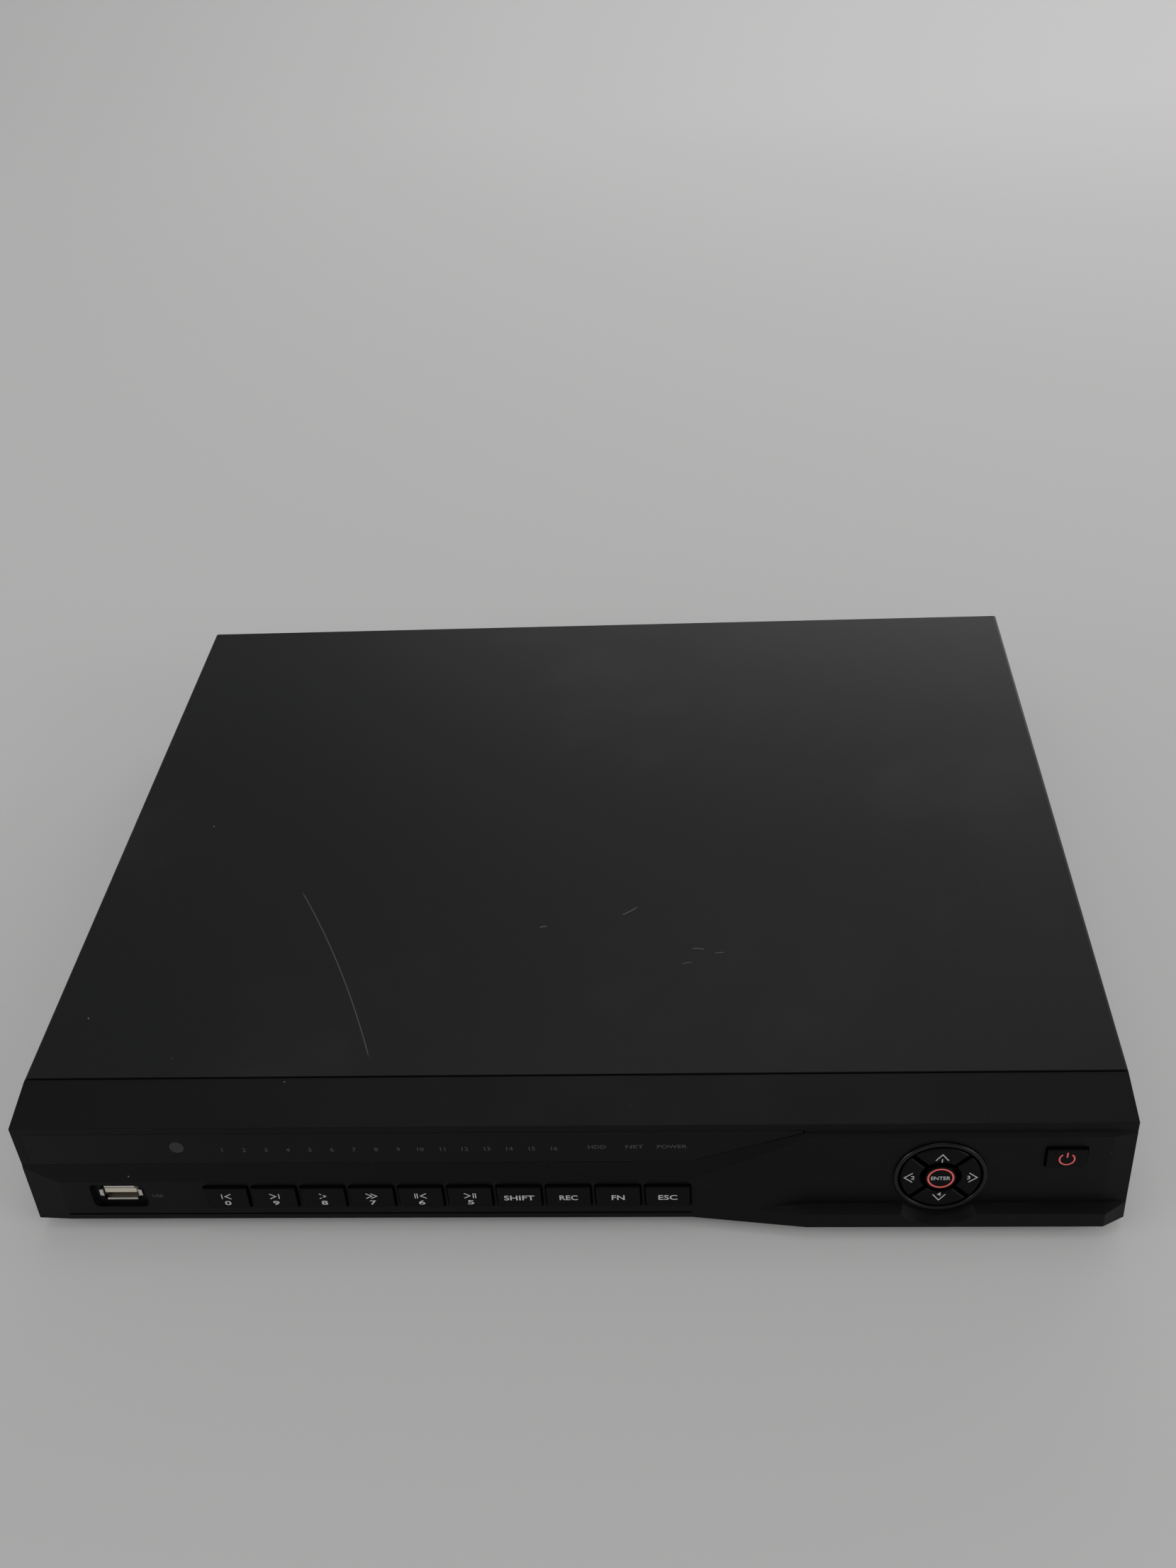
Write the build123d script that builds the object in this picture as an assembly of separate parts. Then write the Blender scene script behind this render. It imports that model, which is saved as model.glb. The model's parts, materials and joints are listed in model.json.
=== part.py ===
from build123d import *
import math
import os

# Desktop video recorder for sixteen cameras: a folded steel case with a moulded front bezel.
# Lengths are millimetres and angles degrees. X runs to the right, Y to the back, Z up. Y = 0 is
# the front edge of the case and Z = 0 the surface that the feet stand on. The finished parts are
# then shifted so that the origin is the bottom centre of the whole object.

# ---- Case
CASE_WIDTH = 375.0
CASE_DEPTH = 257.5
CASE_HEIGHT = 44.0
FOOT_HEIGHT = 5.0
FOOT_RADIUS = 9.0
FOOT_INSET = 28.0
FOOT_FROM_EDGE = 22.0
FOOT_ROUND = 1.0
FOOT_SCREW_SINK = 2.5  # how deep the head of a foot's screw lies in the rubber
FOOT_HEAD_CLEAR = 0.4
SHEET = 1.0
SHEET_FIT = 0.3  # clearance between two folded sheets
COVER_BEND = 1.4
FLANGE_HEIGHT = 14.0
VENT_LENGTH = 16.0
VENT_WIDTH = 2.4
VENT_PITCH = 6.0
VENT_COUNT = 18
VENT_LEVEL = 0.6  # height of the vents as a share of the case
COVER_SHORT = 0.2  # the sides of the cover end this far above the bottom of the case
COVER_SCREW_INSET = 40.0
COVER_SCREW_LEVEL = 8.0
COVER_SCREW_LENGTH = 6.0
SCREW_RADIUS = 1.5
SCREW_HEAD_RADIUS = 2.7
SCREW_HEAD_HEIGHT = 1.6
SCREW_FIT = 0.1

# ---- Bezel: distances down the sloping face are "drop", distances out of it are "out"
FACE_TILT = 11.5
EDGE_Y = -18.2  # top front edge of the bezel
EDGE_DROP = 3.2  # how far that edge lies below the top of the case
BEZEL_TOP_STEP = 0.4
BEZEL_GAP = 0.4
BEZEL_END_STEP = 0.3
BEZEL_FLOOR_STEP = 0.2
WALL = 2.4
WINDOW_DROP = 16.8  # lower edge of the window, where the key face begins to swell
KEY_FACE_DROP = 23.8
STRIP_DROP = 3.9  # lower edge of the narrow strip above the direction pad
PAD_FACE_DROP = 4.8
LIP_DROP = 35.4
LIP_SLOPE = 1.1
LOWER_OUT = 1.5  # how far the key face and the pad face stand in front of the window
LIP_OUT = 5.4
END_FACET = 11.5
RIGHT_FACET = 7.6
LEFT_END_OUT = 1.0  # how far the bottom edge stands out at the two ends
RIGHT_END_OUT = 1.9
SWEEP_START = 145.6  # from the right end to where the key face starts to sweep forward
SWEEP_MIDDLE = 123.2
SWEEP_END = 106.6
SWEEP_MIDDLE_OUT = 3.2
GROOVE_DROP = 39.3
GROOVE_HEIGHT = 0.7
GROOVE_DEPTH = 0.6

# ---- Window, lens and indicators
WINDOW_THICKNESS = 1.6
WINDOW_TOP = 2.6
WINDOW_INSET = 3.2
WINDOW_TIP_INSET = 1.2
WINDOW_RIM = 0.3
WINDOW_FIT = 0.1
LENS_RADIUS = 2.5
LENS_FROM_LEFT = 55.9
LENS_DROP = 8.9
LED_FROM_LEFT = 71.3
LED_PITCH = 7.51
LED_COUNT = 16
STATUS_GAP = 14.3
STATUS_PITCH = 12.5
STATUS_COUNT = 3
LED_DROP = 13.2
LED_HOLE = 2.2
LED_SIZE = 1.6

# ---- Keys
KEY_NAMES = ["0", "9", "8", "7", "6", "5", "shift", "record", "function", "escape"]
KEY_FROM_LEFT = 69.6
KEY_PITCH = 16.85
KEY_WIDTH = 14.9
KEY_HEIGHT = 9.5
KEY_DROP = 30.8
KEY_PROUD = 1.2
KEY_FIT = 0.45
KEY_FLANGE = 0.75
KEY_CORNER = 0.6
KEY_ROUND = 0.25
FLANGE_THICKNESS = 1.2
STEM_RADIUS = 1.8
PRESS_TRAVEL = 0.5
PRESS_BEHIND = 0.05  # between the flange of a button and the wall in front of it
PRESS_SPARE = 0.1  # left between a pressed stem and its switch

# ---- Direction pad and power button
PAD_FROM_RIGHT = 62.9
PAD_DROP = 22.2
RING_RADIUS = 15.5
RING_WIDTH = 1.5
RING_PROUD = 0.9
RING_SEAT = 0.8
RING_ROUND = 0.5
PAD_FIT = 0.7
PAD_GAP = 1.6
PAD_PROUD = 0.9
PAD_CHAMFER = 0.4
PAD_HOLE_RADIUS = 6.7
PAD_FLANGE = 1.6
PAD_STEM_REACH = 10.1
LIP_NOTCH_RADIUS = 19.2
LIP_NOTCH_BASE = 17.6  # radius of the same notch where it meets the pad face
ENTER_RADIUS = 5.1
ENTER_PROUD = 1.2
ENTER_FLANGE_RADIUS = 7.9
ENTER_BEHIND = 0.6  # the flange of the enter button behind those of the pad
LIGHT_RING_RADIUS = 4.45
LIGHT_RING_WIDTH = 0.6
LIGHT_RING_DEPTH = 1.2
POWER_FROM_RIGHT = 22.6
POWER_DROP = 13.6
POWER_WIDTH = 12.9
POWER_HEIGHT = 8.0

# ---- Front circuit board
BOARD_THICKNESS = 1.6
FRONT_BOARD_DEPTH = 11.5  # face of the board behind the plane of the window
FRONT_BOARD_TOP = 5.5
FRONT_BOARD_CLEAR = 0.5  # between the board and the floor of the bezel
FRONT_BOARD_MARGIN = 11.0
TACT_SIZE = 6.0
TACT_HEIGHT = 3.5
TACT_PLUNGER = 1.5
TACT_PLUNGER_RADIUS = 1.7
POST_RADIUS = 3.2
POST_DROP = 20.0
POST_FROM_USB = 14.0
POST_FROM_KEYS = 22.0
POST_FROM_POWER = 17.0
POST_HOLE_DEPTH = 6.2
BOSS_LOW = 9.0  # of the bezel's bosses, above the feet
BOSS_BELOW_TOP = 12.0
BOSS_CLEAR = 0.6
BOSS_HOLE_DEPTH = 8.5
BEZEL_SCREW_REACH = 8.0

# ---- Front USB
USB_FROM_LEFT = 31.6
USB_DROP = 30.4
USB_RECESS_WIDTH = 19.4
USB_RECESS_HEIGHT = 10.8
USB_RECESS_DEPTH = 1.8
USB_WIDTH = 13.1
USB_HEIGHT = 5.7
USB_SHEET = 0.35
USB_FLARE_WIDTH = 15.0
USB_FLARE_HEIGHT = 6.6
USB_FLARE_CUT = 1.9  # notch at each corner, where the four flared tabs part
USB_TAB_GAP = 1.2  # the same notch in the walls of the shell
USB_TAB_LENGTH = 1.6
TONGUE_WIDTH = 11.1
TONGUE_THICKNESS = 1.84
TONGUE_RISE = 0.75
TONGUE_INSET = 0.4

# ---- Main board and what stands on it
STANDOFF_HEIGHT = 6.0
STANDOFF_RADIUS = 2.9
BOARD_MARGIN = 6.0
BOARD_REAR_DEPTH = 76.0
BOARD_FRONT_WIDTH = 222.0
BOARD_FRONT_DEPTH = 88.0
BOARD_LEFT_CLEAR = 51.0
BOARD_HOLE_INSET = 5.0
BOARD_REAR_GAP = 2.5  # between the board and the rear panel
BOARD_SCREW_LENGTH = 5.0
BNC_BLOCK_CLEAR = 8.0  # from the block of camera sockets to the screws in front of it
SINK_FROM_RIGHT = 110.0
SINK_AHEAD = 30.0
SINK_HALF = 20.0
SINK_BASE = 2.0
SINK_HEIGHT = 14.0
SINK_FINS = 9
FIN_THICKNESS = 1.2
PROCESSOR_HALF = 14.0
PROCESSOR_HEIGHT = 2.5
MEMORY_FROM_SINK = 36.0
MEMORY_PITCH = 15.0
MEMORY_SIZE = (10.0, 14.0, 1.2)
DECODER_FROM_LEFT = 30.0
DECODER_PITCH = 34.0
DECODER_SIZE = (16.0, 16.0, 1.4)
CHIP_COUNT = 4  # memory chips, and as many video decoders
CAPACITOR_COUNT = 6
CAPACITOR_INSET = 14.0
CAPACITOR_PITCH = 13.0
CAPACITOR_RADIUS = 4.0
CAPACITOR_HEIGHT = 11.0
CELL_FROM_RIGHT = 150.0
CELL_RADIUS = 10.0
CELL_HEIGHT = 3.2
BUZZER_FROM_RIGHT = 185.0
BUZZER_RADIUS = 6.0
BUZZER_HEIGHT = 8.0
SOUNDER_FROM_FRONT = 20.0  # the cell and the buzzer behind the board's front edge

# ---- Hard drive (3.5 inch form)
DRIVE_WIDTH = 101.6
DRIVE_LENGTH = 147.0
DRIVE_HEIGHT = 26.1
DRIVE_FROM_LEFT = 72.0
DRIVE_FRONT = 14.0
SPACER_HEIGHT = 4.0
SPACER_RADIUS = 4.0
DRIVE_HOLE_PITCH_X = 95.2
DRIVE_HOLE_FIRST = 41.3
DRIVE_HOLE_PITCH_Y = 76.2
DRIVE_CORNER = 3.0
DRIVE_LID_INSET = 4.0
DRIVE_LID_BACK = 22.0
DRIVE_LID_STEP = 1.0
DRIVE_SCREW_DEPTH = 5.0

# ---- Cables inside the case
RIBBON_FROM_KEYS = 40.0
RIBBON_WIDTH = 24.0
RIBBON_THICKNESS = 0.9
RIBBON_WINDOW_HALF = 16.0
RIBBON_WINDOW_LOW = 10.0
RIBBON_WINDOW_HIGH = 32.0
RIBBON_HEADER_FROM_FRONT = 10.0
RIBBON_HEADER_SIZE = (28.0, 6.0, 6.0)
DRIVE_HEADER_FROM_FRONT = 20.0
DRIVE_HEADER_SIZE = (8.0, 10.0, 7.0)
DRIVE_CABLE_RUNS = ((10.0, 12.0, 7.0), (-14.0, 24.0, 13.0))  # off the drive's middle, in, behind
CABLE_LEVEL = 4.5  # middle of the cables above the board
CABLE_BEND = 4.0
FAN_HEADER_FROM_LEFT = 8.0
FAN_HEADER_BEHIND = 40.0
FAN_HEADER_SIZE = (5.0, 8.0, 7.0)
FAN_CABLE_INSET = 6.0

# ---- Fan
FAN_SIZE = 40.0
FAN_DEPTH = 10.0
FAN_FROM_LEFT = 28.0
FAN_BORE_RADIUS = 18.9
FAN_TIP_RADIUS = 18.2
FAN_HUB_RADIUS = 10.5
FAN_BLADES = 7
FAN_HOLE_PITCH = 32.0
FAN_LIFT = 1.0  # of the fan's frame above the floor
FAN_SCREW_LENGTH = 9.0
FAN_PIN_RADIUS = 1.5
BEARING_FIT = 0.05

# ---- Rear connectors: "from left" is measured from the left side of the case
BNC_COLUMNS = 8
BNC_PITCH = 16.5
BNC_FROM_LEFT = 61.5
BNC_LOW = 19.5
BNC_HIGH = 36.0
BNC_RADIUS = 4.83
BNC_BORE = 4.1
BNC_REACH = 10.5
BNC_LUG_RADIUS = 0.95
BNC_LUG_TIP = 5.5
BNC_BLOCK_DEPTH = 14.0
BNC_OUT_GAP = 18.5
BNC_BLOCK_HALF = 8.0  # from the middle of the end column to the end of the block
BNC_FLOOR = 1.5
BNC_SLEEVE_RADIUS = 2.2
BNC_SLEEVE_LENGTH = 7.0
BNC_PIN_HOLE = 0.95
BNC_PIN_RADIUS = 0.9
BNC_PIN_BORE = 0.45
BNC_PIN_LENGTH = 6.5
PANEL_FIT = 0.6
RCA_GAP = 18.0
RCA_PITCH = 14.0
RCA_RADIUS = 4.15
RCA_BORE = 3.5
RCA_REACH = 8.5
RCA_BLOCK_HALF = 6.5
RCA_BLOCK_DEPTH = 12.0
RCA_LINER_FIT = 0.1
RCA_CONTACT_BORE = 1.7
RCA_LINER_STEP = 0.8
VGA_FROM_RIGHT = 108.5
HDMI_FROM_RIGHT = 83.5
LAN_FROM_RIGHT = 65.5
REAR_USB_FROM_RIGHT = 48.5
TERMINAL_FROM_RIGHT = 29.5
INLET_FROM_RIGHT = 12.5
SWITCH_FROM_RIGHT = 29.5
SWITCH_HEIGHT_AT = 37.5
GROUND_FROM_RIGHT = 66.0
GROUND_DROP = 10.0
ROCKER_TILT = 10.0
ROCKER_PIVOT_IN = 1.0  # pivot of the rocker behind the panel's outer face
ROCKER_PIN_RADIUS = 1.2
PORT_FIT = 0.3  # between a socket and the edge of its hole in the panel
VGA_LEVEL = 6.5  # middle of the socket above the board
VGA_HOLE_WIDTH = 17.6
VGA_HOLE_HEIGHT = 9.2
VGA_NUT_RADIUS = 2.6
VGA_NUT_HOLE = 2.7
VGA_HALF_PITCH = 12.5
VGA_HALF_FLANGE = 15.4
VGA_DEPTH = 9.0
VGA_REACH = 5.6
VGA_ROWS = (2.0, 0.0, -2.0)
VGA_PIN_PITCH = 2.3
HDMI_WIDTH = 15.0
HDMI_HEIGHT = 5.6
HDMI_DEPTH = 9.0
HDMI_WALL = 0.5
LAN_WIDTH = 16.0
LAN_HEIGHT = 13.5
LAN_DEPTH = 15.0
LAN_PORT_WIDTH = 11.8
LAN_PORT_DEPTH = 12.0
LAN_PORT_LOW = 3.6
LAN_PORT_HIGH = 11.6
LAN_LATCH_WIDTH = 6.2
LAN_LATCH_LOW = 1.4
LAN_CONTACTS = 8
LAN_CONTACT_PITCH = 1.02
REAR_USB_LEVELS = (4.2, 11.8)
REAR_USB_DEPTH = 15.0
REAR_USB_REACH = 0.8
TERMINAL_WIDTH = 21.6
TERMINAL_HEIGHT = 9.0
TERMINAL_DEPTH = 9.0
TERMINAL_REACH = 3.0
TERMINAL_POLES = 6
TERMINAL_PITCH = 3.5
INLET_WIDTH = 9.0
INLET_HEIGHT = 11.0
INLET_DEPTH = 13.0
INLET_BORE_RADIUS = 2.75
INLET_BORE_DEPTH = 8.0
INLET_PIN_RADIUS = 1.05
SWITCH_WIDTH = 19.2
SWITCH_HEIGHT = 13.2
SWITCH_DEPTH = 15.0
SWITCH_RIM = 0.9
SWITCH_WALL = 0.6
GRILLE_RINGS = 4
GRILLE_PITCH = 4.3
GRILLE_HOLE_RADIUS = 1.6

GROUND_HEAD_RADIUS = 3.4
GROUND_HEAD_HEIGHT = 2.4
GROUND_SCREW_LENGTH = 6.0

# ---- Derived places
LEFT = -CASE_WIDTH / 2
RIGHT = CASE_WIDTH / 2
TOP = FOOT_HEIGHT + CASE_HEIGHT
EDGE_Z = TOP - EDGE_DROP
PANEL_Y = CASE_DEPTH - SHEET
BEZEL_BOTTOM = FOOT_HEIGHT + BEZEL_FLOOR_STEP
BEZEL_HALF = CASE_WIDTH / 2 - BEZEL_END_STEP
FLOOR_Z = FOOT_HEIGHT + SHEET
BOARD_Z = FLOOR_Z + STANDOFF_HEIGHT
BOARD_TOP = BOARD_Z + BOARD_THICKNESS
BOARD_REAR_Y = PANEL_Y - BOARD_REAR_GAP
STEM_TIP = -FRONT_BOARD_DEPTH + TACT_HEIGHT + TACT_PLUNGER + PRESS_TRAVEL + PRESS_SPARE
KEY_XS = [LEFT + KEY_FROM_LEFT + i * KEY_PITCH for i in range(len(KEY_NAMES))]
RIBBON_X = KEY_XS[-1] + RIBBON_FROM_KEYS
FAN_X = LEFT + FAN_FROM_LEFT
FAN_Z = FLOOR_Z + FAN_SIZE / 2 + FAN_LIFT
PAD_X = RIGHT - PAD_FROM_RIGHT
POWER_X = RIGHT - POWER_FROM_RIGHT
USB_X = LEFT + USB_FROM_LEFT
LED_XS = [LEFT + LED_FROM_LEFT + i * LED_PITCH for i in range(LED_COUNT)]
STATUS_XS = [LED_XS[-1] + STATUS_GAP + i * STATUS_PITCH for i in range(STATUS_COUNT)]
PAD_TURNS = {"up": 0, "left": 90, "down": 180, "right": 270}
SIN_TILT = math.sin(math.radians(FACE_TILT))
COS_TILT = math.cos(math.radians(FACE_TILT))

parts = {}
screws = []  # every pan-head screw, in one part


# ---- Helpers
def block(x, y, z):
    """Box between the two values of each of x, y and z."""
    middle = ((x[0] + x[1]) / 2, (y[0] + y[1]) / 2, (z[0] + z[1]) / 2)
    return Pos(*middle) * Box(abs(x[1] - x[0]), abs(y[1] - y[0]), abs(z[1] - z[0]))


def pin(radius, start, length, direction):
    """Cylinder from the point start along direction."""
    return Plane(origin=start, z_dir=direction) * Cylinder(
        radius, length, align=(Align.CENTER, Align.CENTER, Align.MIN)
    )


def tube(outer, inner, start, length, direction):
    """Open tube from the point start along direction."""
    return pin(outer, start, length, direction) - pin(inner, start, length, direction)


def face_point(drop, out):
    """Y and Z of the point that lies this far down the bezel face and this far out of it."""
    y = EDGE_Y - drop * SIN_TILT - out * COS_TILT
    z = EDGE_Z - drop * COS_TILT + out * SIN_TILT
    return y, z


def on_face(x, drop, out=0.0):
    """Plane on the bezel face: its X is right, its Y is up the face and its Z is out of it."""
    y, z = face_point(drop, out)
    return Plane(origin=(x, y, z), x_dir=(1, 0, 0), z_dir=(0, -COS_TILT, SIN_TILT))


def face_slab(x, drop, width, height, out, corner=0.0):
    """Plate parallel to the face, centred at x and drop, between the two values of out."""
    outline = RectangleRounded(width, height, corner) if corner else Rectangle(width, height)
    return on_face(x, drop, out[0]) * extrude(outline, out[1] - out[0])


def face_disc(x, drop, radius, out):
    """Disc parallel to the face between the two values of out."""
    return on_face(x, drop, out[0]) * extrude(Circle(radius), out[1] - out[0])


def drop_at_bottom(out):
    """Drop at which the plane this far out of the face meets the bottom of the bezel."""
    return (EDGE_Z + out * SIN_TILT - BEZEL_BOTTOM) / COS_TILT


def foremost(shapes):
    """The one of these faces that lies furthest out of the bezel face."""
    return shapes.sort_by(Axis((0, 0, 0), (0, -COS_TILT, SIN_TILT)))[-1]


def joined(shapes):
    """One compound of separate solids, for like pieces that share a node."""
    return Compound([solid for shape in shapes for solid in shape.solids()])


# ---- Bezel
def bezel_section(x, crease, swell, lip, lip_out, bottom_out):
    """Closed outline of the bezel at x. Each corner is a drop and an out."""
    corners = [(0, 0), crease, swell, lip, lip_out, (drop_at_bottom(bottom_out), bottom_out)]
    outline = [(x, -BEZEL_GAP, TOP - BEZEL_TOP_STEP)]
    outline += [(x, *face_point(*corner)) for corner in corners]
    outline.append((x, -BEZEL_GAP, BEZEL_BOTTOM))
    return Face(Wire.make_polygon([Vector(*point) for point in outline], close=True))


def bezel_body():
    """Outer form: a window band, a swollen key face and a pad face over a forward lip."""
    lip_end = LIP_DROP + LIP_SLOPE
    key_corners = (
        (WINDOW_DROP, 0),
        (KEY_FACE_DROP, LOWER_OUT),
        (LIP_DROP, LOWER_OUT),
        (lip_end, LOWER_OUT),
        LOWER_OUT,
    )
    middle = (SWEEP_START - SWEEP_MIDDLE) / (SWEEP_START - SWEEP_END)
    sweep_corners = (
        (WINDOW_DROP + middle * (STRIP_DROP - WINDOW_DROP), 0),
        (KEY_FACE_DROP + middle * (PAD_FACE_DROP - KEY_FACE_DROP), LOWER_OUT),
        (LIP_DROP, SWEEP_MIDDLE_OUT),
        (lip_end, SWEEP_MIDDLE_OUT + 0.1),
        LOWER_OUT + middle * (LIP_OUT - LOWER_OUT),
    )
    pad_corners = (
        (STRIP_DROP, 0),
        (PAD_FACE_DROP, LOWER_OUT),
        (LIP_DROP, LOWER_OUT),
        (lip_end, LIP_OUT),
        LIP_OUT,
    )
    left_corners = (
        (WINDOW_DROP, 0),
        (WINDOW_DROP + 1.0, LEFT_END_OUT / 4),
        (LIP_DROP, LEFT_END_OUT - 0.25),
        (lip_end, LEFT_END_OUT - 0.2),
        LEFT_END_OUT,
    )
    right_corners = (
        (STRIP_DROP, 0),
        (PAD_FACE_DROP - 0.4, LOWER_OUT / 10),
        (LIP_DROP - 1.0, LOWER_OUT - 0.1),
        (LIP_DROP - 0.5, LOWER_OUT),
        RIGHT_END_OUT,
    )
    sections = [
        bezel_section(-BEZEL_HALF, *left_corners),
        bezel_section(-BEZEL_HALF + END_FACET, *key_corners),
        bezel_section(BEZEL_HALF - SWEEP_START, *key_corners),
        bezel_section(BEZEL_HALF - SWEEP_MIDDLE, *sweep_corners),
        bezel_section(BEZEL_HALF - SWEEP_END, *pad_corners),
        bezel_section(BEZEL_HALF - RIGHT_FACET, *pad_corners),
        bezel_section(BEZEL_HALF, *right_corners),
    ]
    body = loft(sections[:2], ruled=True)
    for first, second in zip(sections[1:], sections[2:]):
        body += loft([first, second], ruled=True)
    return body


def bezel_hollow():
    """Space inside the bezel walls, open to the back."""
    inner = BEZEL_HALF - WALL
    bottom = BEZEL_BOTTOM + WALL
    low_drop = (EDGE_Z - WALL * SIN_TILT - bottom) / COS_TILT
    outline = [
        (-inner, 1.0, TOP - BEZEL_TOP_STEP - WALL),
        (-inner, *face_point(WALL + 0.4, -WALL)),
        (-inner, *face_point(low_drop, -WALL)),
        (-inner, 1.0, bottom),
    ]
    face = Face(Wire.make_polygon([Vector(*point) for point in outline], close=True))
    return extrude(face, 2 * inner, dir=(1, 0, 0))


def window_outline(fit):
    """Outline of the window on the face plane, shrunk by fit, with X as in the case."""
    left = LEFT + WINDOW_INSET + fit
    corner = BEZEL_HALF - SWEEP_START
    tip = BEZEL_HALF - SWEEP_END
    end = tip - WINDOW_TIP_INSET - 4 * fit
    low = -WINDOW_DROP + WINDOW_RIM + fit
    points = [
        (left, -WINDOW_TOP - fit),
        (end, -WINDOW_TOP - fit),
        (end, -STRIP_DROP + fit),
        (corner - fit, low),
        (left, low),
    ]
    return make_face(Polyline(*points, close=True))


def screw_posts():
    """Places on the face of the posts that hold the front board."""
    xs = (USB_X + POST_FROM_USB, KEY_XS[-1] + POST_FROM_KEYS, POWER_X - POST_FROM_POWER)
    return [(x, POST_DROP) for x in xs]


def bezel_boss_places():
    """X and Z of the bosses that the case screws into."""
    reach = BEZEL_HALF - WALL - POST_RADIUS - BOSS_CLEAR
    heights = (FOOT_HEIGHT + BOSS_LOW, TOP - BOSS_BELOW_TOP)
    return [(side * reach, z) for side in (-1, 1) for z in heights]


def boss_front(z):
    """Y at which a boss at height z starts inside the sloping wall."""
    drop = (EDGE_Z - WALL * SIN_TILT - z) / COS_TILT
    return face_point(drop, -WALL / 2)[0]


def lip_notch():
    """Cone round the pad that cuts back the lip, wider towards the front."""
    depth = LIP_OUT - LOWER_OUT + 2
    spread = (LIP_NOTCH_RADIUS - LIP_NOTCH_BASE) / (LIP_OUT - LOWER_OUT)
    wide = LIP_NOTCH_BASE + spread * depth
    low_end = (Align.CENTER, Align.CENTER, Align.MIN)
    return on_face(PAD_X, PAD_DROP, LOWER_OUT) * Cone(LIP_NOTCH_BASE, wide, depth, align=low_end)


def make_bezel():
    """Front bezel with its openings, posts and bosses."""
    bezel = bezel_body()
    bezel -= bezel_hollow()
    for x, drop in screw_posts():
        bezel += face_disc(x, drop, POST_RADIUS, (-FRONT_BOARD_DEPTH, -WALL / 2))
    for x, z in bezel_boss_places():
        start = boss_front(z)
        boss = pin(POST_RADIUS, (x, start, z), SHEET_FIT - start, (0, 1, 0))
        bezel += boss
    for x, z in bezel_boss_places():
        hole = (x, SHEET_FIT - BOSS_HOLE_DEPTH, z)
        bezel -= pin(SCREW_RADIUS + SCREW_FIT, hole, BOSS_HOLE_DEPTH + 1, (0, 1, 0))
    for x, drop in screw_posts():
        depth = -FRONT_BOARD_DEPTH
        hole = (depth - 1, depth + POST_HOLE_DEPTH)
        bezel -= face_disc(x, drop, SCREW_RADIUS + SCREW_FIT, hole)
    # Window seat, light holes behind it and the receiver's hole
    bezel -= on_face(0, 0, -WINDOW_THICKNESS) * extrude(window_outline(0), 5)
    for x in LED_XS + STATUS_XS:
        bezel -= face_slab(x, LED_DROP, LED_HOLE, LED_HOLE, (-5, 0))
    bezel -= face_disc(LEFT + LENS_FROM_LEFT, LENS_DROP, LENS_RADIUS + WINDOW_FIT, (-5, 0))
    # Key openings and the pocket behind them
    row_middle = (KEY_XS[0] + KEY_XS[-1]) / 2
    row_width = KEY_XS[-1] - KEY_XS[0] + KEY_PITCH + 2
    pocket = (-WALL - 1, LOWER_OUT - WALL)
    bezel -= face_slab(row_middle, KEY_DROP, row_width, KEY_HEIGHT + 4, pocket)
    for x in KEY_XS:
        width = KEY_WIDTH + 2 * KEY_FIT
        height = KEY_HEIGHT + 2 * KEY_FIT
        bezel -= face_slab(x, KEY_DROP, width, height, (-5, 5), KEY_CORNER)
    # Round seat of the direction pad, cut through the lip too
    bezel -= lip_notch()
    bezel -= face_disc(PAD_X, PAD_DROP, RING_RADIUS, (LOWER_OUT - RING_SEAT, 5))
    bezel -= face_disc(PAD_X, PAD_DROP, RING_RADIUS - RING_WIDTH, (-5, 5))
    # Power button opening
    width = POWER_WIDTH + 2 * KEY_FIT
    height = POWER_HEIGHT + 2 * KEY_FIT
    bezel -= face_slab(POWER_X, POWER_DROP, width, height, (-5, 5), KEY_CORNER)
    # USB recess and slot
    recess = (LOWER_OUT - USB_RECESS_DEPTH, 5)
    bezel -= face_slab(USB_X, USB_DROP, USB_RECESS_WIDTH, USB_RECESS_HEIGHT, recess, 2.0)
    slot = (USB_WIDTH + 2 * WINDOW_FIT, USB_HEIGHT + 2 * WINDOW_FIT)
    bezel -= face_slab(USB_X, USB_DROP, *slot, (-5, 1))
    # Groove along the lower edge of the key face
    groove_left = -BEZEL_HALF + END_FACET
    groove_right = BEZEL_HALF - SWEEP_START
    groove_width = groove_right - groove_left
    groove_middle = (groove_left + groove_right) / 2
    groove = (LOWER_OUT - GROOVE_DEPTH, 5)
    bezel -= face_slab(groove_middle, GROOVE_DROP, groove_width, GROOVE_HEIGHT, groove)
    parts["front_bezel"] = bezel


def make_window():
    """Smoked window, infrared lens and the indicator LEDs behind it."""
    window = on_face(0, 0, -WINDOW_THICKNESS) * extrude(
        window_outline(WINDOW_FIT), WINDOW_THICKNESS
    )
    lens_x = LEFT + LENS_FROM_LEFT
    window -= face_disc(lens_x, LENS_DROP, LENS_RADIUS + WINDOW_FIT, (-5, 1))
    parts["indicator_window"] = window
    lens = face_disc(lens_x, LENS_DROP, LENS_RADIUS, (-FRONT_BOARD_DEPTH, 0))
    parts["infrared_receiver"] = lens
    leds = []
    for x in LED_XS + STATUS_XS:
        place = (-FRONT_BOARD_DEPTH, -WALL)
        leds.append(face_slab(x, LED_DROP, LED_SIZE, LED_SIZE, place))
    parts["indicator_leds"] = joined(leds)


# ---- Buttons
def stem(x, drop, start):
    """Round stem behind a button, from the out value start to just clear of its switch."""
    return face_disc(x, drop, STEM_RADIUS, (STEM_TIP, start))


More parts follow.
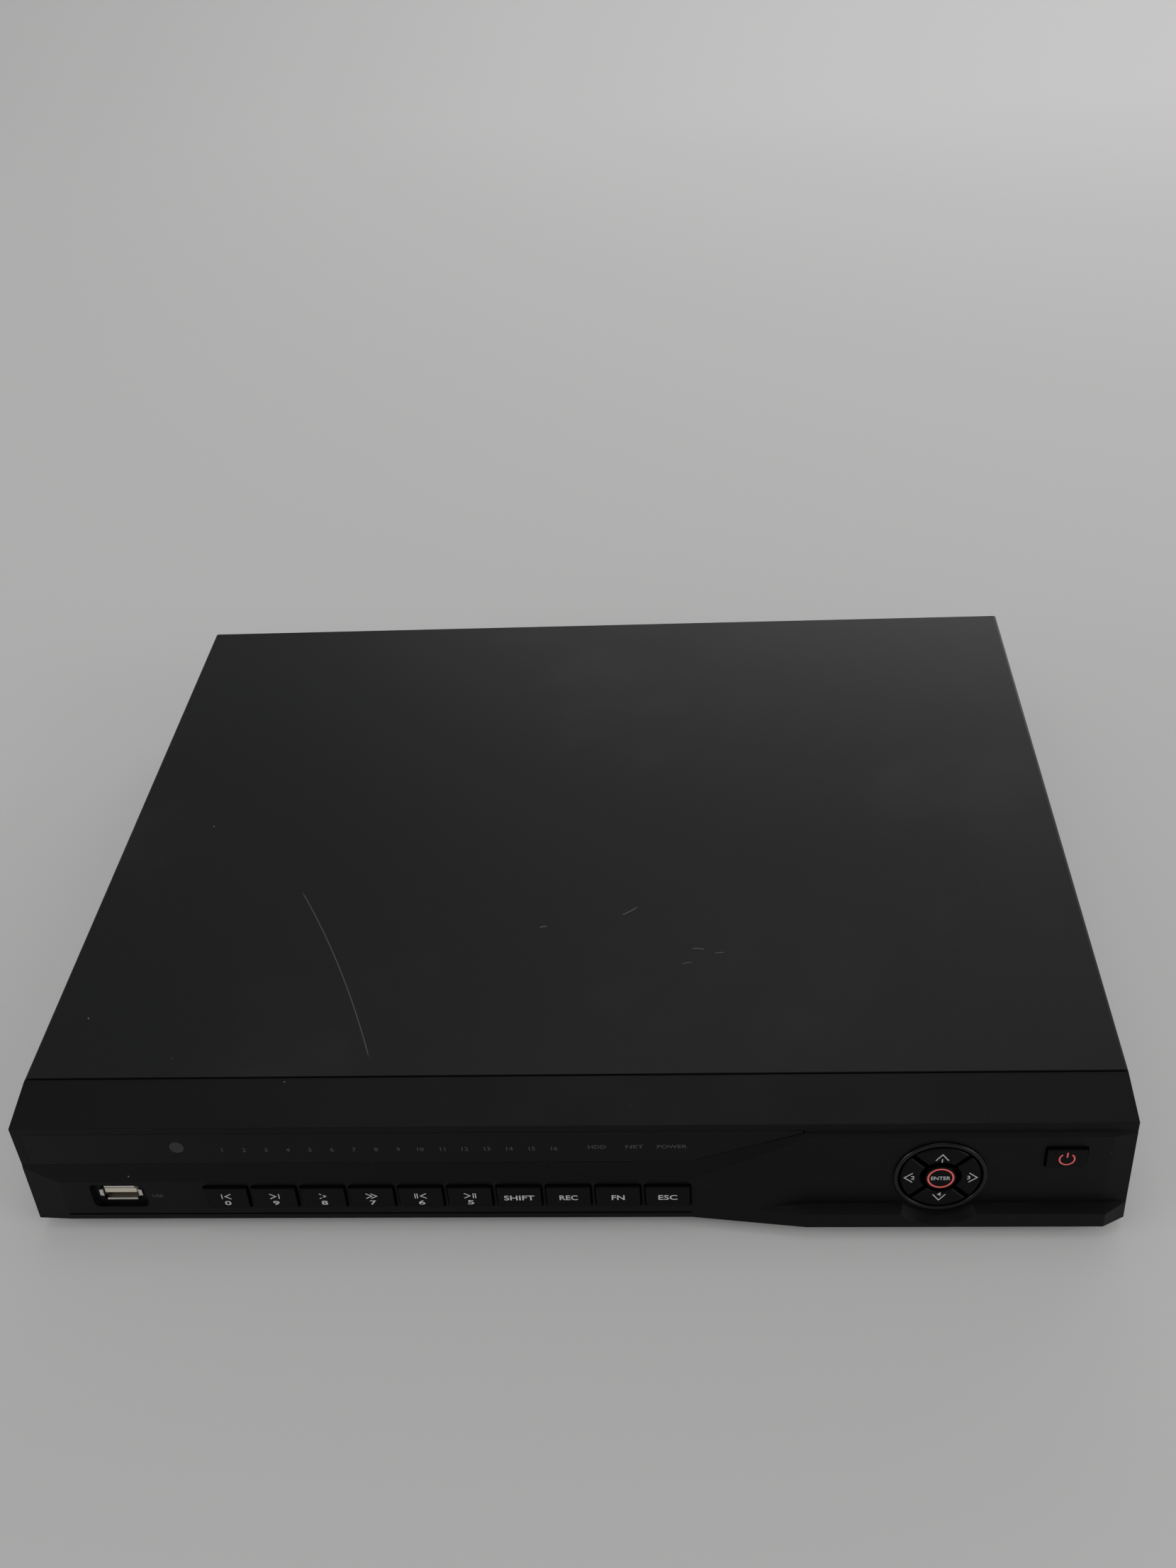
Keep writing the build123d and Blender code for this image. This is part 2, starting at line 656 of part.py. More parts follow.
def cap_button(x, drop, width, height, proud, flange_front):
    """Rectangular cap with the flange that holds it in the bezel and its stem."""
    top = LOWER_OUT + proud
    flange = (flange_front - FLANGE_THICKNESS, flange_front)
    cap = face_slab(x, drop, width, height, (flange[0], top), KEY_CORNER)
    cap = fillet(foremost(cap.faces()).edges(), KEY_ROUND)
    flange_size = (width + 2 * KEY_FLANGE, height + 2 * KEY_FLANGE)
    cap += face_slab(x, drop, *flange_size, flange, KEY_CORNER)
    return cap + stem(x, drop, flange[0])


def make_keys():
    """The ten keys in a row."""
    front = LOWER_OUT - WALL - PRESS_BEHIND
    for name, x in zip(KEY_NAMES, KEY_XS):
        size = (KEY_WIDTH, KEY_HEIGHT)
        parts["key_" + name] = cap_button(x, KEY_DROP, *size, KEY_PROUD, front)


def make_power_button():
    """Power button in the pad face."""
    size = (POWER_WIDTH, POWER_HEIGHT)
    front = -WALL - PRESS_BEHIND
    parts["power_button"] = cap_button(POWER_X, POWER_DROP, *size, KEY_PROUD, front)


def pad_sector(outer, inner, out, turn):
    """Quarter of a ring on the pad, cut back by half the gap on both diagonals."""
    reach = 2 * outer
    wedge = Polyline((0, 0), (-reach, reach), (reach, reach), close=True)
    shift = PAD_GAP / 2 * math.sqrt(2)
    outline = (Circle(outer) - Circle(inner)) & (Pos(0, shift) * make_face(wedge))
    plane = on_face(PAD_X, PAD_DROP, out[0])
    return plane * (Rot(0, 0, turn) * extrude(outline, out[1] - out[0]))


def make_pad():
    """Ring, four direction segments and the enter button with its light ring."""
    ring_out = (LOWER_OUT - RING_SEAT, LOWER_OUT + RING_PROUD)
    ring = face_disc(PAD_X, PAD_DROP, RING_RADIUS, ring_out)
    ring -= face_disc(PAD_X, PAD_DROP, RING_RADIUS - RING_WIDTH, (-5, 5))
    ring = fillet(foremost(ring.faces()).edges(), RING_ROUND)
    parts["pad_ring"] = ring
    outer = RING_RADIUS - RING_WIDTH - PAD_FIT
    flange_front = -WALL - PRESS_BEHIND
    flange = (flange_front - FLANGE_THICKNESS, flange_front)
    for name, turn in PAD_TURNS.items():
        segment = pad_sector(outer, PAD_HOLE_RADIUS, (flange[0], LOWER_OUT + PAD_PROUD), turn)
        segment = chamfer(foremost(segment.faces()).edges(), PAD_CHAMFER)
        segment += pad_sector(outer + PAD_FLANGE, PAD_HOLE_RADIUS, flange, turn)
        angle = math.radians(turn + 90)
        x = PAD_X + PAD_STEM_REACH * math.cos(angle)
        drop = PAD_DROP - PAD_STEM_REACH * math.sin(angle)
        parts["pad_" + name] = segment + stem(x, drop, flange[0])
    top = LOWER_OUT + ENTER_PROUD
    low = flange[0] - ENTER_BEHIND
    enter = face_disc(PAD_X, PAD_DROP, ENTER_RADIUS, (low - FLANGE_THICKNESS, top))
    enter += face_disc(PAD_X, PAD_DROP, ENTER_FLANGE_RADIUS, (low - FLANGE_THICKNESS, low))
    enter += stem(PAD_X, PAD_DROP, low - FLANGE_THICKNESS)
    light = face_disc(PAD_X, PAD_DROP, LIGHT_RING_RADIUS, (top - LIGHT_RING_DEPTH, top))
    light -= face_disc(PAD_X, PAD_DROP, LIGHT_RING_RADIUS - LIGHT_RING_WIDTH, (-5, 5))
    parts["enter_button"] = enter - light
    parts["enter_light_ring"] = light


# ---- Front board
def switch_places():
    """X and drop of every tact switch."""
    places = [(x, KEY_DROP) for x in KEY_XS]
    places.append((POWER_X, POWER_DROP))
    places.append((PAD_X, PAD_DROP))
    for turn in PAD_TURNS.values():
        angle = math.radians(turn + 90)
        x = PAD_X + PAD_STEM_REACH * math.cos(angle)
        places.append((x, PAD_DROP - PAD_STEM_REACH * math.sin(angle)))
    return places


def make_front_board():
    """Circuit board behind the face, its switches, its screws and the screws of the bezel."""
    left = -BEZEL_HALF + FRONT_BOARD_MARGIN
    right = BEZEL_HALF - FRONT_BOARD_MARGIN
    front = -FRONT_BOARD_DEPTH
    back = front - BOARD_THICKNESS
    floor = BEZEL_BOTTOM + WALL + FRONT_BOARD_CLEAR
    bottom = (EDGE_Z + back * SIN_TILT - floor) / COS_TILT
    middle = (FRONT_BOARD_TOP + bottom) / 2
    height = bottom - FRONT_BOARD_TOP
    board = face_slab((left + right) / 2, middle, right - left, height, (back, front))
    for x, drop in screw_posts():
        board -= face_disc(x, drop, SCREW_RADIUS + SCREW_FIT, (back - 1, front + 1))
    parts["front_board"] = board
    switches = []
    for x, drop in switch_places():
        body = face_slab(x, drop, TACT_SIZE, TACT_SIZE, (front, front + TACT_HEIGHT))
        tip = front + TACT_HEIGHT + TACT_PLUNGER
        body += face_disc(x, drop, TACT_PLUNGER_RADIUS, (front + TACT_HEIGHT, tip))
        switches.append(body)
    parts["tact_switches"] = joined(switches)
    for x, drop in screw_posts():
        head = face_disc(x, drop, SCREW_HEAD_RADIUS, (back - SCREW_HEAD_HEIGHT, back))
        screws.append(head + face_disc(x, drop, SCREW_RADIUS, (back, front + 6)))
    wall_back = SHEET_FIT + SHEET
    for x, z in bezel_boss_places():
        start = (x, wall_back, z)
        head = pin(SCREW_HEAD_RADIUS, start, SCREW_HEAD_HEIGHT, (0, 1, 0))
        length = wall_back + BEZEL_SCREW_REACH
        screws.append(head + pin(SCREW_RADIUS, start, length, (0, -1, 0)))


def usb_shell(plane, depth):
    """Flared metal shell of a USB socket whose mouth is on plane."""
    inner = Rectangle(USB_WIDTH - 2 * USB_SHEET, USB_HEIGHT - 2 * USB_SHEET)
    flare = Rectangle(USB_FLARE_WIDTH, USB_FLARE_HEIGHT - 2 * USB_FLARE_CUT)
    flare += Rectangle(USB_FLARE_WIDTH - 2 * USB_FLARE_CUT, USB_FLARE_HEIGHT)
    flare -= inner
    walls = Rectangle(USB_WIDTH, USB_HEIGHT) - inner
    shell = extrude(walls, -depth) + extrude(flare, -USB_SHEET)
    notch = Rectangle(2 * USB_TAB_GAP, 2 * USB_TAB_GAP)
    for x in (-USB_WIDTH / 2, USB_WIDTH / 2):
        for y in (-USB_HEIGHT / 2, USB_HEIGHT / 2):
            shell -= extrude(Pos(x, y) * notch, -USB_TAB_LENGTH)
    back = Pos(0, 0, -depth) * extrude(Rectangle(USB_WIDTH, USB_HEIGHT), USB_SHEET)
    return plane * (shell + back)


def usb_tongue(plane, depth):
    """Insulating tongue of a USB socket whose mouth is on plane."""
    outline = Rectangle(TONGUE_WIDTH, TONGUE_THICKNESS)
    tongue = extrude(outline, -(depth - USB_SHEET - TONGUE_INSET))
    return plane * (Pos(0, TONGUE_RISE, -TONGUE_INSET) * tongue)


def make_front_usb():
    """USB socket at the left of the key face."""
    mouth = on_face(USB_X, USB_DROP, LOWER_OUT - USB_RECESS_DEPTH + USB_SHEET)
    depth = FRONT_BOARD_DEPTH + LOWER_OUT - USB_RECESS_DEPTH + USB_SHEET
    parts["front_usb_shell"] = usb_shell(mouth, depth)
    parts["front_usb_tongue"] = usb_tongue(mouth, depth)


# ---- Case
def cover_screw_places():
    """Y and Z of the screws on each side of the case."""
    ys = (COVER_SCREW_INSET, CASE_DEPTH - COVER_SCREW_INSET)
    return [(y, FOOT_HEIGHT + COVER_SCREW_LEVEL) for y in ys]


def make_cover():
    """Folded top cover with vents in both sides, and its screws."""
    tall = CASE_HEIGHT - COVER_SHORT
    outer = Rectangle(CASE_WIDTH, tall, align=(Align.CENTER, Align.MAX))
    outer = fillet(outer.vertices().group_by(Axis.Y)[-1], COVER_BEND)
    inner = Rectangle(CASE_WIDTH - 2 * SHEET, tall, align=(Align.CENTER, Align.MAX))
    inner = fillet(inner.vertices().group_by(Axis.Y)[-1], COVER_BEND - SHEET)
    profile = outer - Pos(0, -SHEET) * inner
    cover = Plane.XZ * extrude(profile, -CASE_DEPTH)
    cover = Pos(0, 0, TOP) * cover
    vent_z = FOOT_HEIGHT + CASE_HEIGHT * VENT_LEVEL
    first = CASE_DEPTH / 2 - VENT_PITCH * (VENT_COUNT - 1) / 2
    outline = SlotOverall(VENT_LENGTH, VENT_WIDTH, rotation=90)
    slot = Plane.YZ * extrude(outline, RIGHT + 1, both=True)
    for i in range(VENT_COUNT):
        cover -= Pos(0, first + i * VENT_PITCH, vent_z) * slot
    flush_screws = []
    for y, z in cover_screw_places():
        for side in (-1, 1):
            face = side * RIGHT
            inward = (-side, 0, 0)
            cover -= pin(SCREW_HEAD_RADIUS + SCREW_FIT, (face + side, y, z), 5.0, inward)
            head = pin(SCREW_HEAD_RADIUS, (face, y, z), SHEET + SHEET_FIT, inward)
            shank = pin(SCREW_RADIUS, (face, y, z), COVER_SCREW_LENGTH, inward)
            flush_screws.append(head + shank)
    parts["top_cover"] = cover
    parts["cover_screws"] = joined(flush_screws)


def rear_column(index):
    """X of one column of camera sockets."""
    return LEFT + BNC_FROM_LEFT + index * BNC_PITCH


def bnc_places():
    """X and Z of every BNC socket: sixteen inputs and one output."""
    places = [(rear_column(i), z) for z in (BNC_LOW, BNC_HIGH) for i in range(BNC_COLUMNS)]
    return places + [(rear_column(BNC_COLUMNS - 1) + BNC_OUT_GAP, BNC_HIGH)]


def rca_places():
    """X and Z of every audio socket."""
    first = rear_column(BNC_COLUMNS - 1) + BNC_OUT_GAP + RCA_GAP
    return [(first + i * RCA_PITCH, z) for z in (BNC_LOW, BNC_HIGH) for i in range(3)]


def foot_places():
    """X and Y of the feet."""
    xs = (LEFT + FOOT_INSET, RIGHT - FOOT_INSET)
    ys = (FOOT_FROM_EDGE, CASE_DEPTH - FOOT_FROM_EDGE)
    return [(x, y) for x in xs for y in ys]


def standoff_places():
    """X and Y of the posts under the main board."""
    inset = BOARD_HOLE_INSET
    rear_front = BOARD_REAR_Y - BOARD_REAR_DEPTH
    rear = (PANEL_Y - BNC_BLOCK_DEPTH - BNC_BLOCK_CLEAR, rear_front + inset)
    front = rear_front - BOARD_FRONT_DEPTH + inset
    left = LEFT + BOARD_LEFT_CLEAR + inset
    right = RIGHT - BOARD_MARGIN - inset
    inner = RIGHT - BOARD_MARGIN - BOARD_FRONT_WIDTH + inset
    places = [(x, y) for x in (left, right) for y in rear]
    return places + [(inner, rear[1]), (inner, front), (right, front)]


def drive_hole_places():
    """X and Y of the four screws under the hard drive."""
    middle = LEFT + DRIVE_FROM_LEFT
    ys = (DRIVE_FRONT + DRIVE_HOLE_FIRST, DRIVE_FRONT + DRIVE_HOLE_FIRST + DRIVE_HOLE_PITCH_Y)
    return [(middle + side * DRIVE_HOLE_PITCH_X / 2, y) for side in (-1, 1) for y in ys]


def fan_hole_places():
    """X and Z of the fan's four screws."""
    half = FAN_HOLE_PITCH / 2
    return [(FAN_X + i * half, FAN_Z + j * half) for i in (-1, 1) for j in (-1, 1)]


def panel_hole(x, z, width, height):
    """Rectangular cutter through the rear panel."""
    sides = (x - width / 2, x + width / 2)
    levels = (z - height / 2, z + height / 2)
    return block(sides, (PANEL_Y - 2, CASE_DEPTH + 2), levels)


def make_chassis():
    """Steel base with its front wall, side flanges and rear panel, and the feet."""
    half = CASE_WIDTH / 2 - SHEET - SHEET_FIT
    wall_top = TOP - SHEET - SHEET_FIT
    chassis = block((-half, half), (SHEET_FIT, CASE_DEPTH), (FOOT_HEIGHT, FLOOR_Z))
    for side in (-1, 1):
        flange = (side * (half - SHEET), side * half)
        chassis += block(flange, (SHEET_FIT, CASE_DEPTH), (FOOT_HEIGHT, FOOT_HEIGHT + FLANGE_HEIGHT))
    chassis += block((-half, half), (SHEET_FIT, SHEET_FIT + SHEET), (FOOT_HEIGHT, wall_top))
    chassis += block((-half, half), (PANEL_Y, CASE_DEPTH), (FOOT_HEIGHT, wall_top))
    # Front wall: a window for the ribbon cable and the bezel's screw holes
    sides = (RIBBON_X - RIBBON_WINDOW_HALF, RIBBON_X + RIBBON_WINDOW_HALF)
    levels = (FLOOR_Z + RIBBON_WINDOW_LOW, FLOOR_Z + RIBBON_WINDOW_HIGH)
    chassis -= block(sides, (-1, SHEET + 2), levels)
    for x, z in bezel_boss_places():
        chassis -= pin(SCREW_RADIUS + SCREW_FIT, (x, -1, z), 4.0, (0, 1, 0))
    for y, z in cover_screw_places():
        chassis -= pin(SCREW_RADIUS + SCREW_FIT, (LEFT - 1, y, z), CASE_WIDTH + 2, (1, 0, 0))
    feet = []
    for x, y in foot_places():
        foot = pin(FOOT_RADIUS, (x, y, 0), FOOT_HEIGHT, (0, 0, 1))
        foot = fillet(foot.edges().group_by(Axis.Z)[0], FOOT_ROUND)
        foot -= pin(SCREW_HEAD_RADIUS + FOOT_HEAD_CLEAR, (x, y, -1), FOOT_SCREW_SINK + 1, (0, 0, 1))
        foot -= pin(SCREW_RADIUS + SCREW_FIT, (x, y, -1), FOOT_HEIGHT + 2, (0, 0, 1))
        chassis -= pin(SCREW_RADIUS + SCREW_FIT, (x, y, 0), FLOOR_Z + 2, (0, 0, 1))
        feet.append(foot)
    for x, y in drive_hole_places():
        chassis -= pin(SCREW_RADIUS + SCREW_FIT, (x, y, 0), FLOOR_Z + 2, (0, 0, 1))
    parts["rubber_feet"] = joined(feet)
    parts["chassis"] = chassis - rear_openings()


def rear_openings():
    """Every cutter through the rear panel."""
    cutters = []
    back = (0, 1, 0)
    for x, z in bnc_places():
        cutters.append(pin(BNC_LUG_TIP + PANEL_FIT, (x, PANEL_Y - 1, z), 4.0, back))
    for x, z in rca_places():
        cutters.append(pin(RCA_RADIUS + PANEL_FIT, (x, PANEL_Y - 1, z), 4.0, back))
    # Fan grille: rings of round holes, and the fan's screws
    for ring in range(1, GRILLE_RINGS + 1):
        radius = GRILLE_PITCH * ring
        for i in range(6 * ring):
            angle = 2 * math.pi * i / (6 * ring)
            x, z = FAN_X + radius * math.cos(angle), FAN_Z + radius * math.sin(angle)
            cutters.append(pin(GRILLE_HOLE_RADIUS, (x, PANEL_Y - 1, z), 4.0, back))
    for x, z in fan_hole_places():
        cutters.append(pin(SCREW_RADIUS + SCREW_FIT, (x, PANEL_Y - 1, z), 4.0, back))
    low = BOARD_TOP
    vga_z = low + VGA_LEVEL
    cutters.append(panel_hole(RIGHT - VGA_FROM_RIGHT, vga_z, VGA_HOLE_WIDTH, VGA_HOLE_HEIGHT))
    for side in (-VGA_HALF_PITCH, VGA_HALF_PITCH):
        x = RIGHT - VGA_FROM_RIGHT + side
        cutters.append(pin(VGA_NUT_HOLE, (x, PANEL_Y - 1, vga_z), 4.0, back))
    usb_height = REAR_USB_LEVELS[1] + USB_HEIGHT / 2
    ports = (
        (HDMI_FROM_RIGHT, HDMI_WIDTH, HDMI_HEIGHT),
        (LAN_FROM_RIGHT, LAN_WIDTH, LAN_HEIGHT),
        (REAR_USB_FROM_RIGHT, USB_WIDTH, usb_height),
        (TERMINAL_FROM_RIGHT, TERMINAL_WIDTH, TERMINAL_HEIGHT),
        (INLET_FROM_RIGHT, INLET_WIDTH, INLET_HEIGHT),
    )
    for from_right, width, height in ports:
        size = (width + 2 * PORT_FIT, height + 2 * PORT_FIT)
        cutters.append(panel_hole(RIGHT - from_right, low + height / 2, *size))
    switch = (SWITCH_WIDTH + 2 * WINDOW_FIT, SWITCH_HEIGHT + 2 * WINDOW_FIT)
    cutters.append(panel_hole(RIGHT - SWITCH_FROM_RIGHT, SWITCH_HEIGHT_AT, *switch))
    ground = (RIGHT - GROUND_FROM_RIGHT, PANEL_Y - 1, TOP - GROUND_DROP)
    cutters.append(pin(SCREW_RADIUS + SCREW_FIT, ground, 4, back))
    return cutters


# ---- Inside the case
def on_board(x, y, size):
    """Rectangular component standing on the main board."""
    half_x, half_y = size[0] / 2, size[1] / 2
    return block((x - half_x, x + half_x), (y - half_y, y + half_y), (BOARD_TOP, BOARD_TOP + size[2]))


def make_main_board():
    """L-shaped main board on standoffs, with what is soldered to it."""
    left = LEFT + BOARD_LEFT_CLEAR
    right = RIGHT - BOARD_MARGIN
    rear_front = BOARD_REAR_Y - BOARD_REAR_DEPTH
    front = rear_front - BOARD_FRONT_DEPTH
    thick = (BOARD_Z, BOARD_TOP)
    board = block((left, right), (rear_front, BOARD_REAR_Y), thick)
    board += block((right - BOARD_FRONT_WIDTH, right), (front, rear_front), thick)
    standoffs = []
    up = (0, 0, 1)
    for x, y in standoff_places():
        board -= pin(SCREW_RADIUS + SCREW_FIT, (x, y, BOARD_Z - 1), 4.0, up)
        post = Pos(x, y, FLOOR_Z) * extrude(RegularPolygon(STANDOFF_RADIUS, 6), STANDOFF_HEIGHT)
        standoffs.append(post - pin(SCREW_RADIUS + SCREW_FIT, (x, y, FLOOR_Z + 1), 9.0, up))
        head = pin(SCREW_HEAD_RADIUS, (x, y, BOARD_TOP), SCREW_HEAD_HEIGHT, up)
        screws.append(head + pin(SCREW_RADIUS, (x, y, BOARD_TOP), BOARD_SCREW_LENGTH, (0, 0, -1)))
    for x, y in drive_hole_places():
        hole = SCREW_RADIUS + SCREW_FIT
        standoffs.append(tube(SPACER_RADIUS, hole, (x, y, FLOOR_Z), SPACER_HEIGHT, up))
    parts["main_board"] = board
    parts["standoffs"] = joined(standoffs)
    # Processor heatsink: a base with fins, over the processor
    sink_x, sink_y = right - SINK_FROM_RIGHT, rear_front - SINK_AHEAD
    base_z = BOARD_TOP + PROCESSOR_HEIGHT
    sink_sides = (sink_x - SINK_HALF, sink_x + SINK_HALF)
    sink_ends = (sink_y - SINK_HALF, sink_y + SINK_HALF)
    sink = block(sink_sides, sink_ends, (base_z, base_z + SINK_BASE))
    for i in range(SINK_FINS):
        x = sink_sides[0] + i * (2 * SINK_HALF - FIN_THICKNESS) / (SINK_FINS - 1)
        sink += block((x, x + FIN_THICKNESS), sink_ends, (base_z, base_z + SINK_HEIGHT))
    parts["heatsink"] = sink
    chips = [on_board(sink_x, sink_y, (2 * PROCESSOR_HALF, 2 * PROCESSOR_HALF, PROCESSOR_HEIGHT))]
    for i in range(CHIP_COUNT):
        x = sink_x + MEMORY_FROM_SINK + MEMORY_PITCH * i
        chips.append(on_board(x, sink_y, MEMORY_SIZE))
        x = left + DECODER_FROM_LEFT + DECODER_PITCH * i
        chips.append(on_board(x, rear_front + DECODER_FROM_LEFT, DECODER_SIZE))
    for i in range(CAPACITOR_COUNT):
        x = right - CAPACITOR_INSET - CAPACITOR_PITCH * i
        place = (x, front + CAPACITOR_INSET, BOARD_TOP)
        chips.append(pin(CAPACITOR_RADIUS, place, CAPACITOR_HEIGHT, up))
    parts["board_components"] = joined(chips)
    y = front + SOUNDER_FROM_FRONT
    parts["coin_cell"] = pin(CELL_RADIUS, (right - CELL_FROM_RIGHT, y, BOARD_TOP), CELL_HEIGHT, up)
    x = right - BUZZER_FROM_RIGHT
    buzzer = pin(BUZZER_RADIUS, (x, y, BOARD_TOP), BUZZER_HEIGHT, up)
    parts["buzzer"] = buzzer - pin(1.0, (x, y, BOARD_TOP + BUZZER_HEIGHT - 2), 4.0, up)


def make_drive():
    """Hard drive on four spacers, screwed through the floor."""
    middle = LEFT + DRIVE_FROM_LEFT
    base = FLOOR_Z + SPACER_HEIGHT
    xs = (middle - DRIVE_WIDTH / 2, middle + DRIVE_WIDTH / 2)
    ys = (DRIVE_FRONT, DRIVE_FRONT + DRIVE_LENGTH)
    body = block(xs, ys, (base, base + DRIVE_HEIGHT))
    body = fillet(body.edges().filter_by(Axis.Z), DRIVE_CORNER)
    lid_x = (xs[0] + DRIVE_LID_INSET, xs[1] - DRIVE_LID_INSET)
    lid_y = (ys[0] + DRIVE_LID_INSET, ys[1] - DRIVE_LID_BACK)
    body -= block(lid_x, lid_y, (base + DRIVE_HEIGHT - DRIVE_LID_STEP, base + DRIVE_HEIGHT + 1))
    up = (0, 0, 1)
    for x, y in drive_hole_places():
        hole = SCREW_RADIUS + SCREW_FIT
        body -= pin(hole, (x, y, base - 1), DRIVE_SCREW_DEPTH + 2, up)
        head = pin(SCREW_HEAD_RADIUS, (x, y, FOOT_HEIGHT), SCREW_HEAD_HEIGHT, (0, 0, -1))
        length = SHEET + SPACER_HEIGHT + DRIVE_SCREW_DEPTH - 1.0
        screws.append(head + pin(SCREW_RADIUS, (x, y, FOOT_HEIGHT), length, up))
    for x, y in foot_places():
        seat = (x, y, FOOT_SCREW_SINK)
        head = pin(SCREW_HEAD_RADIUS, seat, SCREW_HEAD_HEIGHT, (0, 0, -1))
        screws.append(head + pin(SCREW_RADIUS, seat, FLOOR_Z, up))
    parts["hard_drive"] = body


def flat_cable(points, section, radius):
    """Cable of one section along a plane path with rounded corners."""
    path = FilletPolyline(*points, radius=radius)
    start = Plane(origin=path @ 0, z_dir=path % 0)
    return sweep(start * section, path=path)


def make_cables():
    """Cables held inside the case, and the headers that they plug into."""
    right = RIGHT - BOARD_MARGIN
    rear_front = BOARD_REAR_Y - BOARD_REAR_DEPTH
    inner = right - BOARD_FRONT_WIDTH
    front = rear_front - BOARD_FRONT_DEPTH
    headers = []
    # Ribbon from the front board, through the front wall, to the main board
    start_y, start_z = face_point(POST_DROP, -FRONT_BOARD_DEPTH - BOARD_THICKNESS)
    header_y = front + RIBBON_HEADER_FROM_FRONT
    header_top = BOARD_TOP + RIBBON_HEADER_SIZE[2]
    path = [
        (RIBBON_X, start_y + 0.15, start_z),
        (RIBBON_X, front - 12.0, start_z),
        (RIBBON_X, header_y, header_top + 4.0),
        (RIBBON_X, header_y, header_top),
    ]
    ribbon = FilletPolyline(*path, radius=3.0)
    plane = Plane(origin=ribbon @ 0, x_dir=(1, 0, 0), z_dir=ribbon % 0)
    section = plane * Rectangle(RIBBON_WIDTH, RIBBON_THICKNESS)
    parts["front_ribbon_cable"] = sweep(section, path=ribbon)
    headers.append(on_board(RIBBON_X, header_y, RIBBON_HEADER_SIZE))
    # Data and power cables of the drive
    drive_x = LEFT + DRIVE_FROM_LEFT
    drive_end = DRIVE_FRONT + DRIVE_LENGTH
    level = BOARD_TOP + CABLE_LEVEL
    header_y = front + DRIVE_HEADER_FROM_FRONT
    cables = []
    for offset, target, run in DRIVE_CABLE_RUNS:
        x = inner + target
        points = [
            (drive_x + offset, drive_end, level),
            (drive_x + offset, drive_end + run, level),
            (x, drive_end + run, level),
            (x, header_y, level),
        ]
        cables.append(flat_cable(points, Rectangle(2.0, 5.0, rotation=90), CABLE_BEND))
        headers.append(on_board(x, header_y - DRIVE_HEADER_SIZE[1] / 2, DRIVE_HEADER_SIZE))
    # Cable from the fan to its header at the left of the board
    cable_x = FAN_X + FAN_HOLE_PITCH / 2 - FAN_CABLE_INSET
    header_x = LEFT + BOARD_LEFT_CLEAR + FAN_HEADER_FROM_LEFT
    header_y = rear_front + FAN_HEADER_BEHIND
    points = [
        (cable_x, PANEL_Y - FAN_DEPTH, level),
        (cable_x, header_y, level),
        (header_x, header_y, level),
    ]
    parts["fan_cable"] = flat_cable(points, Rectangle(3.0, 1.4, rotation=90), CABLE_BEND)
    headers.append(on_board(header_x + FAN_HEADER_SIZE[0] / 2, header_y, FAN_HEADER_SIZE))
    parts["drive_cables"] = joined(cables)
    parts["cable_headers"] = joined(headers)


def make_fan():
    """Fan behind the grille of the rear panel, with its rotor and screws."""
    x, z = FAN_X, FAN_Z
    back = PANEL_Y
    front = back - FAN_DEPTH
    half = FAN_SIZE / 2
    along = (0, 1, 0)
    frame = block((x - half, x + half), (front, back), (z - half, z + half))
    frame = fillet(frame.edges().filter_by(Axis.Y), 3.0)
    frame -= pin(FAN_BORE_RADIUS, (x, front - 1, z), FAN_DEPTH + 2, along)
    motor = pin(FAN_HUB_RADIUS, (x, front, z), 1.5, along)
    for turn in (0, 120, 240):
        strut = Pos(x, front + 0.75, z) * Rot(0, turn, 0) * Pos(14.5, 0, 0) * Box(10.5, 1.5, 2.4)
        motor += strut
    frame += motor
    frame -= pin(FAN_PIN_RADIUS + BEARING_FIT, (x, front - 1, z), 4.0, along)
    for hole_x, hole_z in fan_hole_places():
        frame -= pin(SCREW_RADIUS + SCREW_FIT, (hole_x, front - 1, hole_z), FAN_DEPTH + 2, along)
        head = pin(SCREW_HEAD_RADIUS, (hole_x, CASE_DEPTH, hole_z), SCREW_HEAD_HEIGHT, along)
        seat = (hole_x, CASE_DEPTH, hole_z)
        screws.append(head + pin(SCREW_RADIUS, seat, FAN_SCREW_LENGTH, (0, -1, 0)))
    ground = (RIGHT - GROUND_FROM_RIGHT, CASE_DEPTH, TOP - GROUND_DROP)
    head = pin(GROUND_HEAD_RADIUS, ground, GROUND_HEAD_HEIGHT, along)
    screws.append(head + pin(SCREW_RADIUS, ground, GROUND_SCREW_LENGTH, (0, -1, 0)))
    hub_start, hub_length = front + 2.1, 6.6
    rotor = pin(FAN_HUB_RADIUS, (x, hub_start, z), hub_length, along)
    rotor += pin(FAN_PIN_RADIUS, (x, front + 0.2, z), 2.4, along)
    span = FAN_TIP_RADIUS - FAN_HUB_RADIUS + 1.0
    reach = FAN_HUB_RADIUS - 1.0 + span / 2
    for i in range(FAN_BLADES):
        blade = Pos(reach, 0, 0) * Rot(38, 0, 0) * Box(span, 0.9, 7.6)
        rotor += Pos(x, hub_start + hub_length / 2, z) * Rot(0, 360 * i / FAN_BLADES, 0) * blade
    parts["fan_frame"] = frame
    parts["fan_rotor"] = rotor


